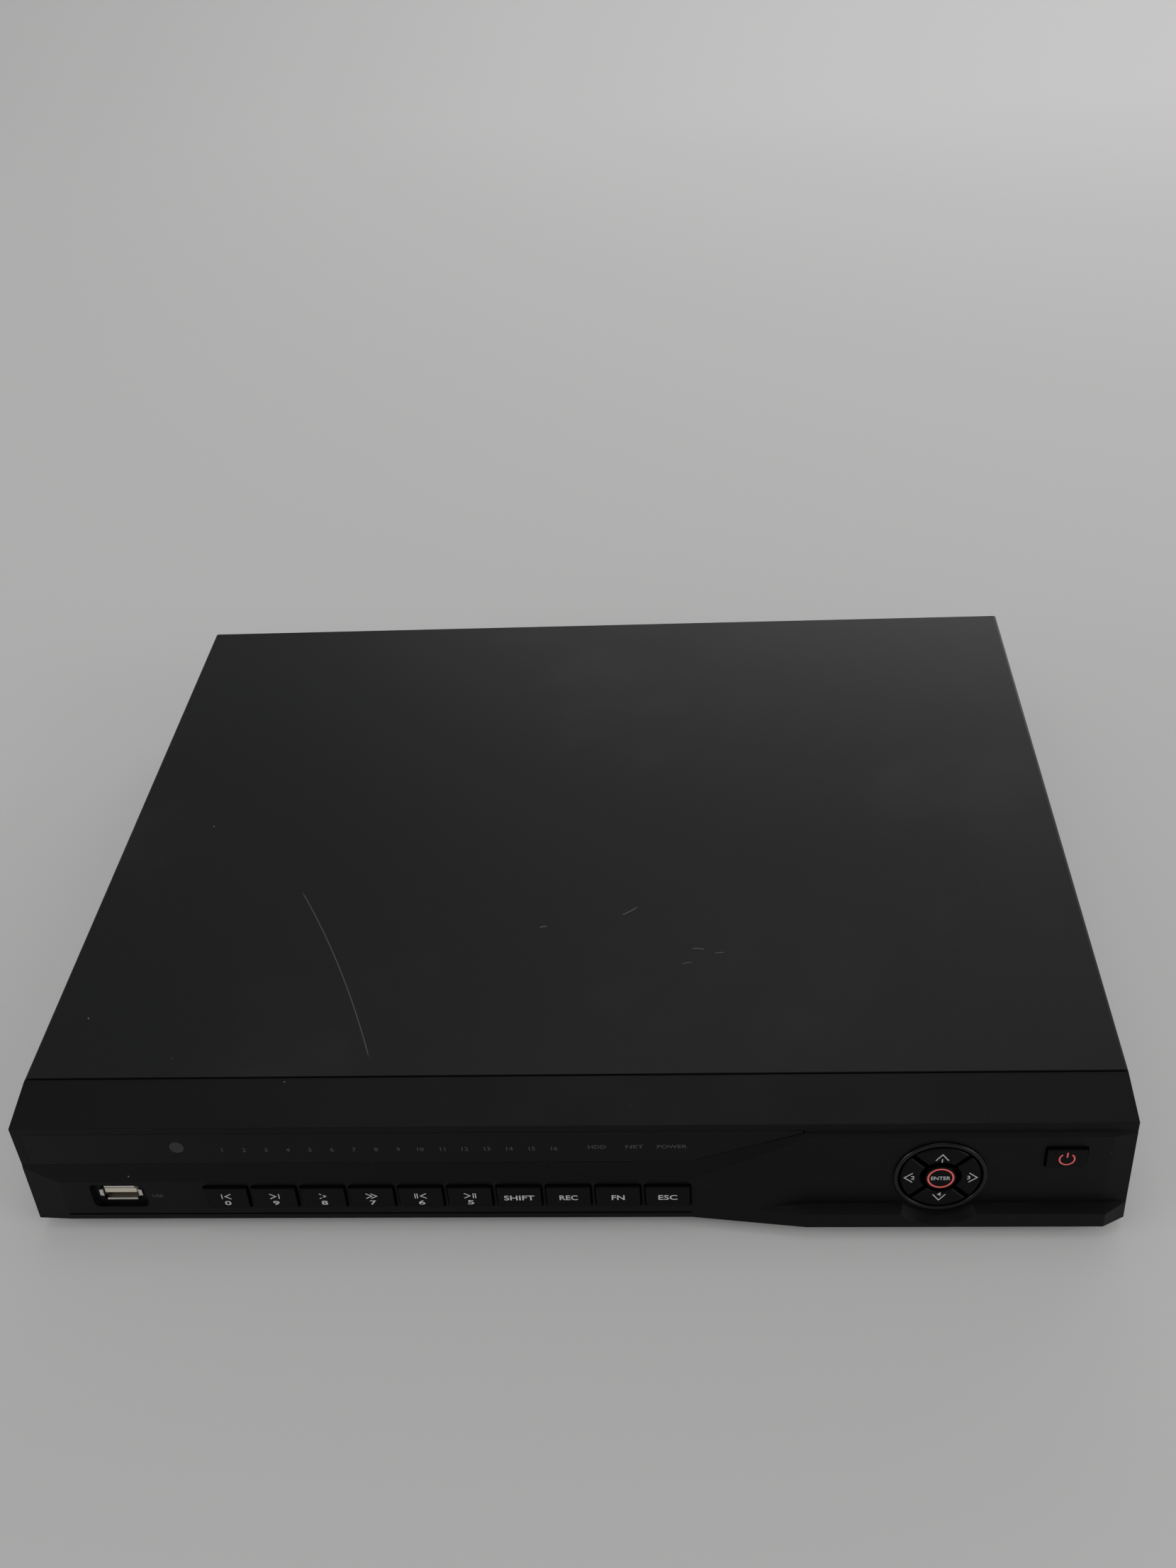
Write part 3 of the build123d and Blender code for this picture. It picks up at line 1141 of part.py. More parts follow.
# ---- Rear connectors
def make_bnc():
    """Camera sockets: one moulded block, bayonet barrels, insulators and contacts."""
    back = (0, 1, 0)
    front = PANEL_Y - BNC_BLOCK_DEPTH
    last = rear_column(BNC_COLUMNS - 1) + BNC_OUT_GAP + BNC_BLOCK_HALF
    block_x = (rear_column(0) - BNC_BLOCK_HALF, last)
    body = block(block_x, (front, PANEL_Y), (BOARD_TOP, TOP - SHEET - 1.0))
    barrels, insulators, contacts = [], [], []
    for x, z in bnc_places():
        foot = (x, PANEL_Y, z)
        barrel = pin(BNC_RADIUS, foot, SHEET + BNC_REACH, back)
        for side in (-1, 1):
            start = (x + side * (BNC_RADIUS - 0.5), CASE_DEPTH + 6.0, z)
            barrel += pin(BNC_LUG_RADIUS, start, BNC_LUG_TIP - BNC_RADIUS + 0.5, (side, 0, 0))
        mouth = (x, PANEL_Y + BNC_FLOOR, z)
        barrel -= pin(BNC_BORE, mouth, SHEET + BNC_REACH, back)
        barrels.append(barrel)
        disc = pin(BNC_BORE - WINDOW_FIT, mouth, BNC_FLOOR, back)
        sleeve = pin(BNC_SLEEVE_RADIUS, mouth, BNC_SLEEVE_LENGTH, back)
        hole = pin(BNC_PIN_HOLE, mouth, BNC_SLEEVE_LENGTH + 2, back)
        insulators.append(disc + sleeve - hole)
        contacts.append(tube(BNC_PIN_RADIUS, BNC_PIN_BORE, mouth, BNC_PIN_LENGTH, back))
    parts["bnc_block"] = body
    parts["bnc_barrels"] = joined(barrels)
    parts["bnc_insulators"] = joined(insulators)
    parts["bnc_contacts"] = joined(contacts)


def make_rca():
    """Audio sockets: one moulded block and plain round barrels."""
    back = (0, 1, 0)
    places = rca_places()
    block_x = (places[0][0] - RCA_BLOCK_HALF, places[2][0] + RCA_BLOCK_HALF)
    body = block(block_x, (PANEL_Y - RCA_BLOCK_DEPTH, PANEL_Y), (BOARD_TOP, TOP - SHEET - 3.0))
    barrels = []
    for x, z in places:
        foot = (x, PANEL_Y, z)
        barrels.append(tube(RCA_RADIUS, RCA_BORE, foot, SHEET + RCA_REACH, back))
        liner = SHEET + RCA_REACH - RCA_LINER_STEP
        body += tube(RCA_BORE - RCA_LINER_FIT, RCA_CONTACT_BORE, foot, liner, back)
    parts["rca_block"] = body
    parts["rca_barrels"] = joined(barrels)


def make_vga(low):
    """VGA socket: flange plate, D shell and hexagonal jackscrews, with a moulded insert."""
    x, z = RIGHT - VGA_FROM_RIGHT, low + VGA_LEVEL
    d_shape = Polyline((-8.2, 4.0), (8.2, 4.0), (7.0, -4.0), (-7.0, -4.0), close=True)
    d_face = fillet(make_face(d_shape).vertices(), 1.6)
    rear = Plane(origin=(x, PANEL_Y, z), x_dir=(1, 0, 0), z_dir=(0, 1, 0))
    sides = (x - VGA_HALF_FLANGE, x + VGA_HALF_FLANGE)
    plate = 0.8
    flange = block(sides, (PANEL_Y - plate, PANEL_Y), (low, z + 6.2))
    shell = rear * extrude(offset(d_face, -0.1), SHEET + VGA_REACH)
    insert = rear * extrude(offset(d_face, -0.55), SHEET + VGA_REACH - 0.4)
    shell -= insert
    nuts = []
    for side in (-VGA_HALF_PITCH, VGA_HALF_PITCH):
        place = Plane(origin=(x + side, PANEL_Y, z), z_dir=(0, 1, 0))
        nut = place * extrude(RegularPolygon(VGA_NUT_RADIUS, 6), SHEET + VGA_REACH - 1.0)
        nuts.append(nut - pin(1.4, (x + side, PANEL_Y + 0.5, z), 9.0, (0, 1, 0)))
    base = block(sides, (PANEL_Y - VGA_DEPTH, PANEL_Y - plate), (low, z + 4.5))
    for row in VGA_ROWS:
        for i in range(5):
            dot = VGA_PIN_PITCH * (i - 2) + (VGA_PIN_PITCH / 2 if row == 0 else 0)
            insert -= pin(0.5, (x + dot, CASE_DEPTH + 1.0, z + row), 9.0, (0, 1, 0))
    parts["vga_shell"] = joined([flange + shell] + nuts)
    parts["vga_insert"] = joined([base, insert])


def make_hdmi(low):
    """HDMI socket with the tongue that its plug slides over."""
    x, middle = RIGHT - HDMI_FROM_RIGHT, low + HDMI_HEIGHT / 2
    half = HDMI_WIDTH / 2
    hollow = half - HDMI_WALL
    front = PANEL_Y - HDMI_DEPTH
    inner = front + 1.5
    socket = block((x - half, x + half), (front, CASE_DEPTH + 0.6), (low, low + HDMI_HEIGHT))
    inside = (low + HDMI_WALL, low + HDMI_HEIGHT - HDMI_WALL)
    socket -= block((x - hollow, x + hollow), (inner, CASE_DEPTH + 2), inside)
    tongue = (x - hollow + 1.2, x + hollow - 1.2)
    socket += block(tongue, (inner, CASE_DEPTH - 0.6), (middle - 0.4, middle + 0.6))
    parts["hdmi_socket"] = socket


def make_network_jack(low):
    """Network jack with its latch slot and its contacts."""
    x = RIGHT - LAN_FROM_RIGHT
    half, port, latch = LAN_WIDTH / 2, LAN_PORT_WIDTH / 2, LAN_LATCH_WIDTH / 2
    inner = PANEL_Y - LAN_PORT_DEPTH
    jack = block((x - half, x + half), (PANEL_Y - LAN_DEPTH, CASE_DEPTH + 0.6), (low, low + LAN_HEIGHT))
    port_z = (low + LAN_PORT_LOW, low + LAN_PORT_HIGH)
    latch_z = (low + LAN_LATCH_LOW, low + LAN_PORT_LOW + 0.4)
    jack -= block((x - port, x + port), (inner, CASE_DEPTH + 2), port_z)
    jack -= block((x - latch, x + latch), (inner, CASE_DEPTH + 2), latch_z)
    contacts = []
    for i in range(LAN_CONTACTS):
        pin_x = x + (i - (LAN_CONTACTS - 1) / 2) * LAN_CONTACT_PITCH
        height = (low + LAN_PORT_HIGH - 0.6, low + LAN_PORT_HIGH)
        contacts.append(block((pin_x - 0.2, pin_x + 0.2), (inner, PANEL_Y - 2.0), height))
    parts["network_jack"] = joined([jack] + contacts)


def make_rear_usb(low):
    """Two USB sockets, one above the other, in one metal shell."""
    x = RIGHT - REAR_USB_FROM_RIGHT
    mouth = CASE_DEPTH + REAR_USB_REACH
    sides = (x - USB_WIDTH / 2, x + USB_WIDTH / 2)
    ends = (mouth - REAR_USB_DEPTH, mouth)
    lower, upper = (low + level for level in REAR_USB_LEVELS)
    shell = block(sides, ends, (low, upper + USB_HEIGHT / 2))
    tongues = []
    for z in (lower, upper):
        rear = Plane(origin=(x, mouth, z), x_dir=(-1, 0, 0), z_dir=(0, 1, 0))
        inner = Rectangle(USB_WIDTH - 2 * USB_SHEET, USB_HEIGHT - 2 * USB_SHEET)
        shell -= rear * extrude(inner, -(REAR_USB_DEPTH - 1.0))
        tongues.append(usb_tongue(rear, REAR_USB_DEPTH - 1.0 + USB_SHEET))
    parts["rear_usb_shell"] = shell
    parts["rear_usb_tongues"] = joined(tongues)


def make_terminal_and_inlet(low):
    """Terminal block for alarm wires and the DC inlet with its pin."""
    x = RIGHT - TERMINAL_FROM_RIGHT
    half = TERMINAL_WIDTH / 2
    reach = CASE_DEPTH + TERMINAL_REACH
    ends = (PANEL_Y - TERMINAL_DEPTH, reach)
    terminal = block((x - half, x + half), ends, (low, low + TERMINAL_HEIGHT))
    for i in range(TERMINAL_POLES):
        hole_x = x + (i - (TERMINAL_POLES - 1) / 2) * TERMINAL_PITCH
        sides = (hole_x - 1.2, hole_x + 1.2)
        terminal -= block(sides, (PANEL_Y, reach + 1), (low + 1.2, low + 4.6))
        terminal -= pin(1.1, (hole_x, reach - 1.5, low + 6.9), 4.0, (0, 1, 0))
    parts["terminal_block"] = terminal
    x, z = RIGHT - INLET_FROM_RIGHT, low + INLET_HEIGHT / 2
    half = INLET_WIDTH / 2
    ends = (PANEL_Y - INLET_DEPTH, CASE_DEPTH + 0.5)
    inlet = block((x - half, x + half), ends, (low, low + INLET_HEIGHT))
    bottom = PANEL_Y - INLET_BORE_DEPTH
    inlet -= pin(INLET_BORE_RADIUS, (x, bottom, z), 20.0, (0, 1, 0))
    centre = pin(INLET_PIN_RADIUS, (x, bottom - 0.5, z), INLET_BORE_DEPTH + 0.5, (0, 1, 0))
    parts["power_inlet"] = inlet + centre


def make_board_sockets():
    """Sockets that stand on the main board and reach through the rear panel."""
    make_vga(BOARD_TOP)
    make_hdmi(BOARD_TOP)
    make_network_jack(BOARD_TOP)
    make_rear_usb(BOARD_TOP)
    make_terminal_and_inlet(BOARD_TOP)


def make_power_switch():
    """Rocker switch: a snap-in housing and a rocker on two trunnions."""
    x, z = RIGHT - SWITCH_FROM_RIGHT, SWITCH_HEIGHT_AT
    half, tall = SWITCH_WIDTH / 2, SWITCH_HEIGHT / 2
    rim_half, rim_tall = half + SWITCH_RIM, tall + SWITCH_RIM
    rim = ((x - rim_half, x + rim_half), (CASE_DEPTH, CASE_DEPTH + 1.6), (z - rim_tall, z + rim_tall))
    well_y = (CASE_DEPTH - SWITCH_DEPTH, CASE_DEPTH)
    housing = block(*rim) + block((x - half, x + half), well_y, (z - tall, z + tall))
    cavity_half, cavity_tall = half - SWITCH_WALL, tall - 1.0
    cavity_y = (CASE_DEPTH - 9.0, CASE_DEPTH + 2.0)
    cavity_x = (x - cavity_half, x + cavity_half)
    housing -= block(cavity_x, cavity_y, (z - cavity_tall, z + cavity_tall))
    pivot_y = CASE_DEPTH - ROCKER_PIVOT_IN
    trunnion = cavity_tall + 0.5
    bearing = (x, pivot_y, z - trunnion - 0.2)
    bearing_radius = ROCKER_PIN_RADIUS + BEARING_FIT
    housing -= pin(bearing_radius, bearing, 2 * (trunnion + 0.2), (0, 0, 1))
    profile = Polyline(
        (-8.1, 4.4), (0, 2.6), (8.1, 4.4), (7.2, -2.6), (0, -4.4), (-7.2, -2.6), close=True
    )
    rocker = extrude(make_face(profile), cavity_tall - 0.3, both=True)
    rocker += extrude(Circle(ROCKER_PIN_RADIUS), trunnion, both=True)
    parts["power_switch_housing"] = housing
    parts["power_switch_rocker"] = Pos(x, pivot_y, z) * Rot(0, 0, -ROCKER_TILT) * rocker


make_bezel()
make_window()
make_keys()
make_power_button()
make_pad()
make_front_board()
make_front_usb()
make_cover()
make_chassis()
make_main_board()
make_drive()
make_cables()
make_fan()
make_bnc()
make_rca()
make_board_sockets()
make_power_switch()
parts["pan_head_screws"] = joined(screws)

whole = joined(parts.values()).bounding_box()
to_origin = Pos(-(whole.min.X + whole.max.X) / 2, -(whole.min.Y + whole.max.Y) / 2, -whole.min.Z)
os.makedirs("parts", exist_ok=True)
for name, shape in parts.items():
    export_step(to_origin * shape, f"parts/{name}.step")
print(len(parts), "parts, size", whole.size, "shift", to_origin.position)
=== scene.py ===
import json
import math

import bpy
import numpy as np
from bpy.props import FloatProperty, FloatVectorProperty, PointerProperty
from mathutils import Matrix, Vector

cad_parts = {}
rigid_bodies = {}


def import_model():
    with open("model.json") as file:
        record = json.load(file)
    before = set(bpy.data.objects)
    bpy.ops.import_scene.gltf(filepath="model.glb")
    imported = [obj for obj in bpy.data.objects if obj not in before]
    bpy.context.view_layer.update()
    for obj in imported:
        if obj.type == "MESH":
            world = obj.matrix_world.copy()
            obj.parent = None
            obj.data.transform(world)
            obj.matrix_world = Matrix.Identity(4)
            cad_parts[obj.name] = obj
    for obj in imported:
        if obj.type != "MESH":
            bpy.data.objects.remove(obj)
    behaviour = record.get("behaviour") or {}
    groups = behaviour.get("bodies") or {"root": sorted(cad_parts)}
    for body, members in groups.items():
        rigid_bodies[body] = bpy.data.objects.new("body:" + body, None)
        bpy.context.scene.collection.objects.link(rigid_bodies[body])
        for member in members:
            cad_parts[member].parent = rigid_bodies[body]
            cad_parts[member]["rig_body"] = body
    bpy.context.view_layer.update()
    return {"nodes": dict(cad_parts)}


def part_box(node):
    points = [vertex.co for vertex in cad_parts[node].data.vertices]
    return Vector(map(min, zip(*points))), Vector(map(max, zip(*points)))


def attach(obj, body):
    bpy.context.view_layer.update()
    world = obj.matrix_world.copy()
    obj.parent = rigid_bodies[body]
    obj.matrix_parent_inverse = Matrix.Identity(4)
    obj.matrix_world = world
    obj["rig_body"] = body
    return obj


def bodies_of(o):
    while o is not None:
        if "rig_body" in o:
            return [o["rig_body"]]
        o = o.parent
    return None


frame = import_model()

bl_info = {
    "name": "Desktop Video Recorder",
    "version": (1, 0, 0),
    "blender": (4, 5, 0),
    "location": "View3D > Sidebar > Recorder",
    "description": "Finishes, legends and studio for a desktop video recorder",
    "category": "Object",
}

MM = 0.001
FACE_TILT = math.radians(11.5)  # lean of the front face from the vertical
ROOT = "recorder"

# Signs of the keys, in millimetres on the key's face. A sign is a list of open runs, each a
# list of points about the middle of the sign.
SIGN_HALF = 1.15  # half the height of a sign
CHEVRON_LEFT = [(1.3, SIGN_HALF), (-0.75, 0.0), (1.3, -SIGN_HALF)]
CHEVRON_RIGHT = [(-1.3, SIGN_HALF), (0.75, 0.0), (-1.3, -SIGN_HALF)]


def bar(x):
    """Upright run of a key's sign."""
    return [(x, SIGN_HALF), (x, -SIGN_HALF)]


def moved(run, dx):
    """The same run moved to the right by dx."""
    return [(x + dx, y) for x, y in run]


KEY_GLYPHS = {
    "key_0": ([bar(-1.5), moved(CHEVRON_LEFT, 0.35)], "0"),
    "key_9": ([moved(CHEVRON_RIGHT, -0.35), bar(1.5)], "9"),
    "key_8": (
        [
            [(-1.3, SIGN_HALF), (-0.55, 0.72)],
            [(-1.3, -SIGN_HALF), (-0.55, -0.72)],
            [(0.0, 0.45), (0.9, 0.0), (0.0, -0.45)],
        ],
        "8",
    ),
    "key_7": ([moved(CHEVRON_RIGHT, -0.75), moved(CHEVRON_RIGHT, 0.95)], "7"),
    "key_6": ([bar(-1.95), bar(-1.2), moved(CHEVRON_LEFT, 0.65)], "6"),
    "key_5": ([moved(CHEVRON_RIGHT, -0.65), bar(1.2), bar(1.95)], "5"),
}
# Words of the keys that have no sign: text and width
KEY_WORDS = {
    "key_shift": ("SHIFT", 10.4),
    "key_record": ("REC", 6.2),
    "key_function": ("FN", 4.4),
    "key_escape": ("ESC", 6.4),
}
GLYPH_UP = 1.15  # from the middle of the key up to the middle of its sign
DIGIT_DOWN = 2.0
DIGIT_SIZE = (2.0, 2.2)  # height and width
STROKE = 0.34
WORD_HEIGHT = 2.3
PRINT_LIFT = 0.02  # of a print above the face that it lies on

# Signs of the direction pad: the way each chevron points, in degrees, and its digit
PAD_SIGNS = {
    "pad_up": (90, "1"),
    "pad_left": (180, "2"),
    "pad_right": (0, "3"),
    "pad_down": (270, "4"),
}
PAD_CHEVRON = [(-2.7, 2.1), (0.0, 0.0), (-2.7, -2.1)]
PAD_STROKE = 0.36
PAD_REACH_ACROSS = 12.0  # from the middle of the pad to the tips at its left and right
PAD_REACH_UP = 10.6  # and to the tips above and below
PAD_DIGIT_BEHIND = 2.8
PAD_DIGIT_HEIGHT = 1.65
ENTER_SIZE = (1.6, 6.4)  # height and width
POWER_RING = (2.45, 128, 412)  # radius, and the angles where the ring starts and ends
POWER_BAR = [(0.0, 2.9), (0.0, 0.75)]
POWER_STROKE = 0.5

# Legends of the window and the front socket
CHANNELS = 16
CHANNEL_PITCH = 7.51
CHANNEL_HEIGHT = 1.7
STATUS_WORDS = ("HDD", "NET", "POWER")
STATUS_PITCH = 12.5
STATUS_HEIGHT = 1.6
STATUS_LETTER = 2.0  # width of one letter
STATUS_RISE = 0.6
WINDOW_LEVEL = -0.7  # of the channel numbers, from the middle of the window
LED_HALF = 0.8
USB_LABEL_RIGHT = 13.5
USB_LABEL_HEIGHT = 1.4
USB_LABEL_LIFT = 1.5  # from the mouth of the socket out to the face round it

# Legends of the rear panel: text, node that it names, its middle's distance along +X from the
# middle of that node and up from the node's top, and its height, in millimetres
REAR_WORDS = [
    ("VIDEO IN", "bnc_barrels", -9.25, 4.0, 1.9),
    ("VIDEO OUT", "bnc_barrels", 67.0, 4.0, 1.7),
    ("AUDIO IN", "rca_barrels", 7.0, 4.6, 1.7),
    ("AUDIO OUT", "rca_barrels", -14.0, 4.6, 1.3),
    ("VGA", "vga_shell", 0.0, 2.6, 1.9),
    ("HDMI", "hdmi_socket", 0.0, 2.6, 1.9),
    ("LAN", "network_jack", 0.0, 2.4, 1.9),
    ("USB", "rear_usb_shell", 0.0, 2.2, 1.9),
    ("485  ALARM", "terminal_block", 0.0, 2.2, 1.7),
    ("DC 12V", "power_inlet", 0.0, 2.2, 1.6),
    ("POWER", "power_switch_housing", 15.5, -7.5, 1.6),
]
REAR_INK = (0.55, 0.55, 0.55)
SOCKET_COLUMNS = 8
SOCKET_PITCH = 16.5  # between the columns of camera sockets
SOCKET_RADIUS = 4.83
SOCKET_NUMBER_UP = 4.6
SOCKET_NUMBER_HEIGHT = 1.5
LUG_REACH = 5.5  # from a socket's middle to the tip of its bayonet lug

# Scratches on the cover, in metres: start, end, how far the middle bows to the left of the run,
# and half the width
SCRATCHES = [
    ((-0.1087, -0.0317), (-0.0683, -0.1110), 0.0022, 0.00022),
    ((0.0169, -0.0463), (0.0223, -0.0425), -0.0002, 0.00030),
    ((-0.0140, -0.0522), (-0.0113, -0.0517), 0.0003, 0.00035),
    ((0.0431, -0.0634), (0.0473, -0.0638), 0.0003, 0.00025),
    ((0.0514, -0.0655), (0.0545, -0.0653), 0.0, 0.00022),
    ((0.0394, -0.0706), (0.0429, -0.0698), 0.0002, 0.00022),
]
SCRATCH_COLOUR = (0.085, 0.085, 0.085)
SMUDGE_COLOUR = (0.06, 0.06, 0.06)

# Soft lights, in metres: name, place, target, width and height, and share of the light power
LIGHTS = (
    ("top_light", (0.0, 0.7, 2.3), (0.0, 0.1, 0.0), (1.2, 1.2), 0.36),
    ("back_light", (0.5, 1.4, 0.5), (0.2, 0.3, 0.0), (2.2, 0.6), 0.5),
    ("left_light", (-1.6, -0.5, 0.5), (-0.15, -0.1, 0.03), (0.8, 0.8), 0.36),
    ("right_light", (1.6, -0.6, 0.6), (0.15, -0.1, 0.03), (0.8, 0.8), 0.36),
)
AIR_COLOUR = (0.5, 0.5, 0.5, 1.0)
AIR_STRENGTH = 0.78
CAMERA_PLACE = (0.04953, -0.385085, 0.42616)
CAMERA_TURN = (0.831, 0.046, 0.023)
CAMERA_LENS = 30.81  # in millimetres, as is the sensor's width
CAMERA_SENSOR = 36.0
CAMERA_SHIFT = (-0.0347, -0.0018)


# ---------------------------------------------------------------- shapes
def node_points(node):
    """Corner points of a CAD node as an array of rows of X, Y and Z."""
    mesh = frame["nodes"][node].data
    flat = np.empty(len(mesh.vertices) * 3)
    mesh.vertices.foreach_get("co", flat)
    return flat.reshape(-1, 3)


def body_of(node):
    """Name of the body that a CAD node rides on."""
    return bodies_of(frame["nodes"][node])[0]


def front_place(node):
    """Middle of the foremost flat of a node: X right, Y up the face, Z out of it.

    The three axes are fixed by the lean of the face. A point's distance out is its dot product
    with the outward axis; the flat is every point within a hair of the largest one, and the
    place is halfway between that flat's lowest and highest values right and up the face.
    """
    points = node_points(node)
    right = np.array((1.0, 0.0, 0.0))
    up = np.array((0.0, math.sin(FACE_TILT), math.cos(FACE_TILT)))
    out = np.array((0.0, -math.cos(FACE_TILT), math.sin(FACE_TILT)))
    depth = points @ out
    flat = points[depth > depth.max() - 2e-5]
    across, height = flat @ right, flat @ up
    middle = (
        right * (across.min() + across.max()) / 2
        + up * (height.min() + height.max()) / 2
        + out * depth.max()
    )
    place = Matrix.Identity(4)
    for column, axis in enumerate((right, up, out, middle)):
        place.col[column][:3] = axis
    return place


def rear_place(x, z):
    """Point of the rear panel: X to the left of the case, Y up, Z out of the panel."""
    place = Matrix.Identity(4)
    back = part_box("chassis")[1][1]
    for column, axis in enumerate(((-1, 0, 0), (0, 0, 1), (0, 1, 0), (x, back, z))):
        place.col[column][:3] = axis
    return place


def stroke(points, width):
    """Flat ribbon along an open run of points.

    At each point the ribbon's two edges stand half the width to either side, along the mean of
    the neighbouring segments' normals divided by one plus their dot product, which keeps both
    edges parallel to the run at a corner.
    """
    points = np.asarray(points, float)
    along = np.diff(points, axis=0)
    along /= np.linalg.norm(along, axis=1)[:, None]
    normal = np.stack((-along[:, 1], along[:, 0]), axis=1)
    before = np.vstack((normal[:1], normal))
    after = np.vstack((normal, normal[-1:]))
    mitre = (before + after) / (1 + (before * after).sum(axis=1))[:, None]
    corners = np.vstack((points + mitre * width / 2, points - mitre * width / 2))
    count = len(points)
    start = np.arange(count - 1)
    faces = np.stack((start + count, start + count + 1, start + 1, start), axis=1)
    return corners, faces.tolist()


def arc(radius, first, last, count=40):
    """Points at equal angles, in degrees, round a circle about the middle."""
    angle = np.radians(np.linspace(first, last, count))
    return np.stack((radius * np.cos(angle), radius * np.sin(angle)), axis=1)


def turned(points, degrees):
    """Points turned anticlockwise about the middle."""
    angle = math.radians(degrees)
    turn = np.array(((math.cos(angle), math.sin(angle)), (-math.sin(angle), math.cos(angle))))
    return np.asarray(points, float) @ turn


def lettering(text, height, width=None, place=(0.0, 0.0)):
    """Flat letters about a middle point, as corners and faces, in millimetres.

    The letters are scaled to the height, and to the width too when one is given; without one
    they are a fifth wider than the font draws them.
    """
    curve = bpy.data.curves.new("letters", "FONT")
    curve.body = text
    curve.size = height / 0.7
    curve.resolution_u = 3
    curve.offset = 0.018 * height
    holder = bpy.data.objects.new("letters", curve)
    bpy.context.collection.objects.link(holder)
    mesh = bpy.data.meshes.new_from_object(
        holder.evaluated_get(bpy.context.evaluated_depsgraph_get())
    )
    flat = np.empty(len(mesh.vertices) * 3)
    mesh.vertices.foreach_get("co", flat)
    corners = flat.reshape(-1, 3)[:, :2]
    faces = [list(polygon.vertices) for polygon in mesh.polygons]
    bpy.data.objects.remove(holder)
    bpy.data.meshes.remove(mesh)
    bpy.data.curves.remove(curve)
    size = corners.max(axis=0) - corners.min(axis=0)
    corners = corners - (corners.min(axis=0) + corners.max(axis=0)) / 2
    tall = height / size[1]
    wide = width / size[0] if width else tall * 1.2
    return corners * (wide, tall) + place, faces


def shifted(shape, dx, dy):
    """Corners and faces moved by dx and dy."""
    corners, faces = shape
    return corners + (dx, dy), faces


def print_on(name, place, shapes, material, body, lift=PRINT_LIFT):
    """Puts flat shapes, in millimetres on a plane, on the object as one thin printed piece."""
    corners, faces, total = [], [], 0
    for shape_corners, shape_faces in shapes:
        corners.append(shape_corners)
        faces += [[index + total for index in face] for face in shape_faces]
        total += len(shape_corners)
    flat = np.vstack(corners)
    local = np.column_stack((flat, np.full(len(flat), lift))) * MM
    matrix = np.array(place)
    points = local @ matrix[:3, :3].T + matrix[:3, 3]
    mesh = bpy.data.meshes.new(name)
    mesh.from_pydata(points.tolist(), [], faces)
    mesh.materials.append(material)
    piece = bpy.data.objects.new(name, mesh)
    bpy.context.collection.objects.link(piece)
    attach(piece, body)
    return piece


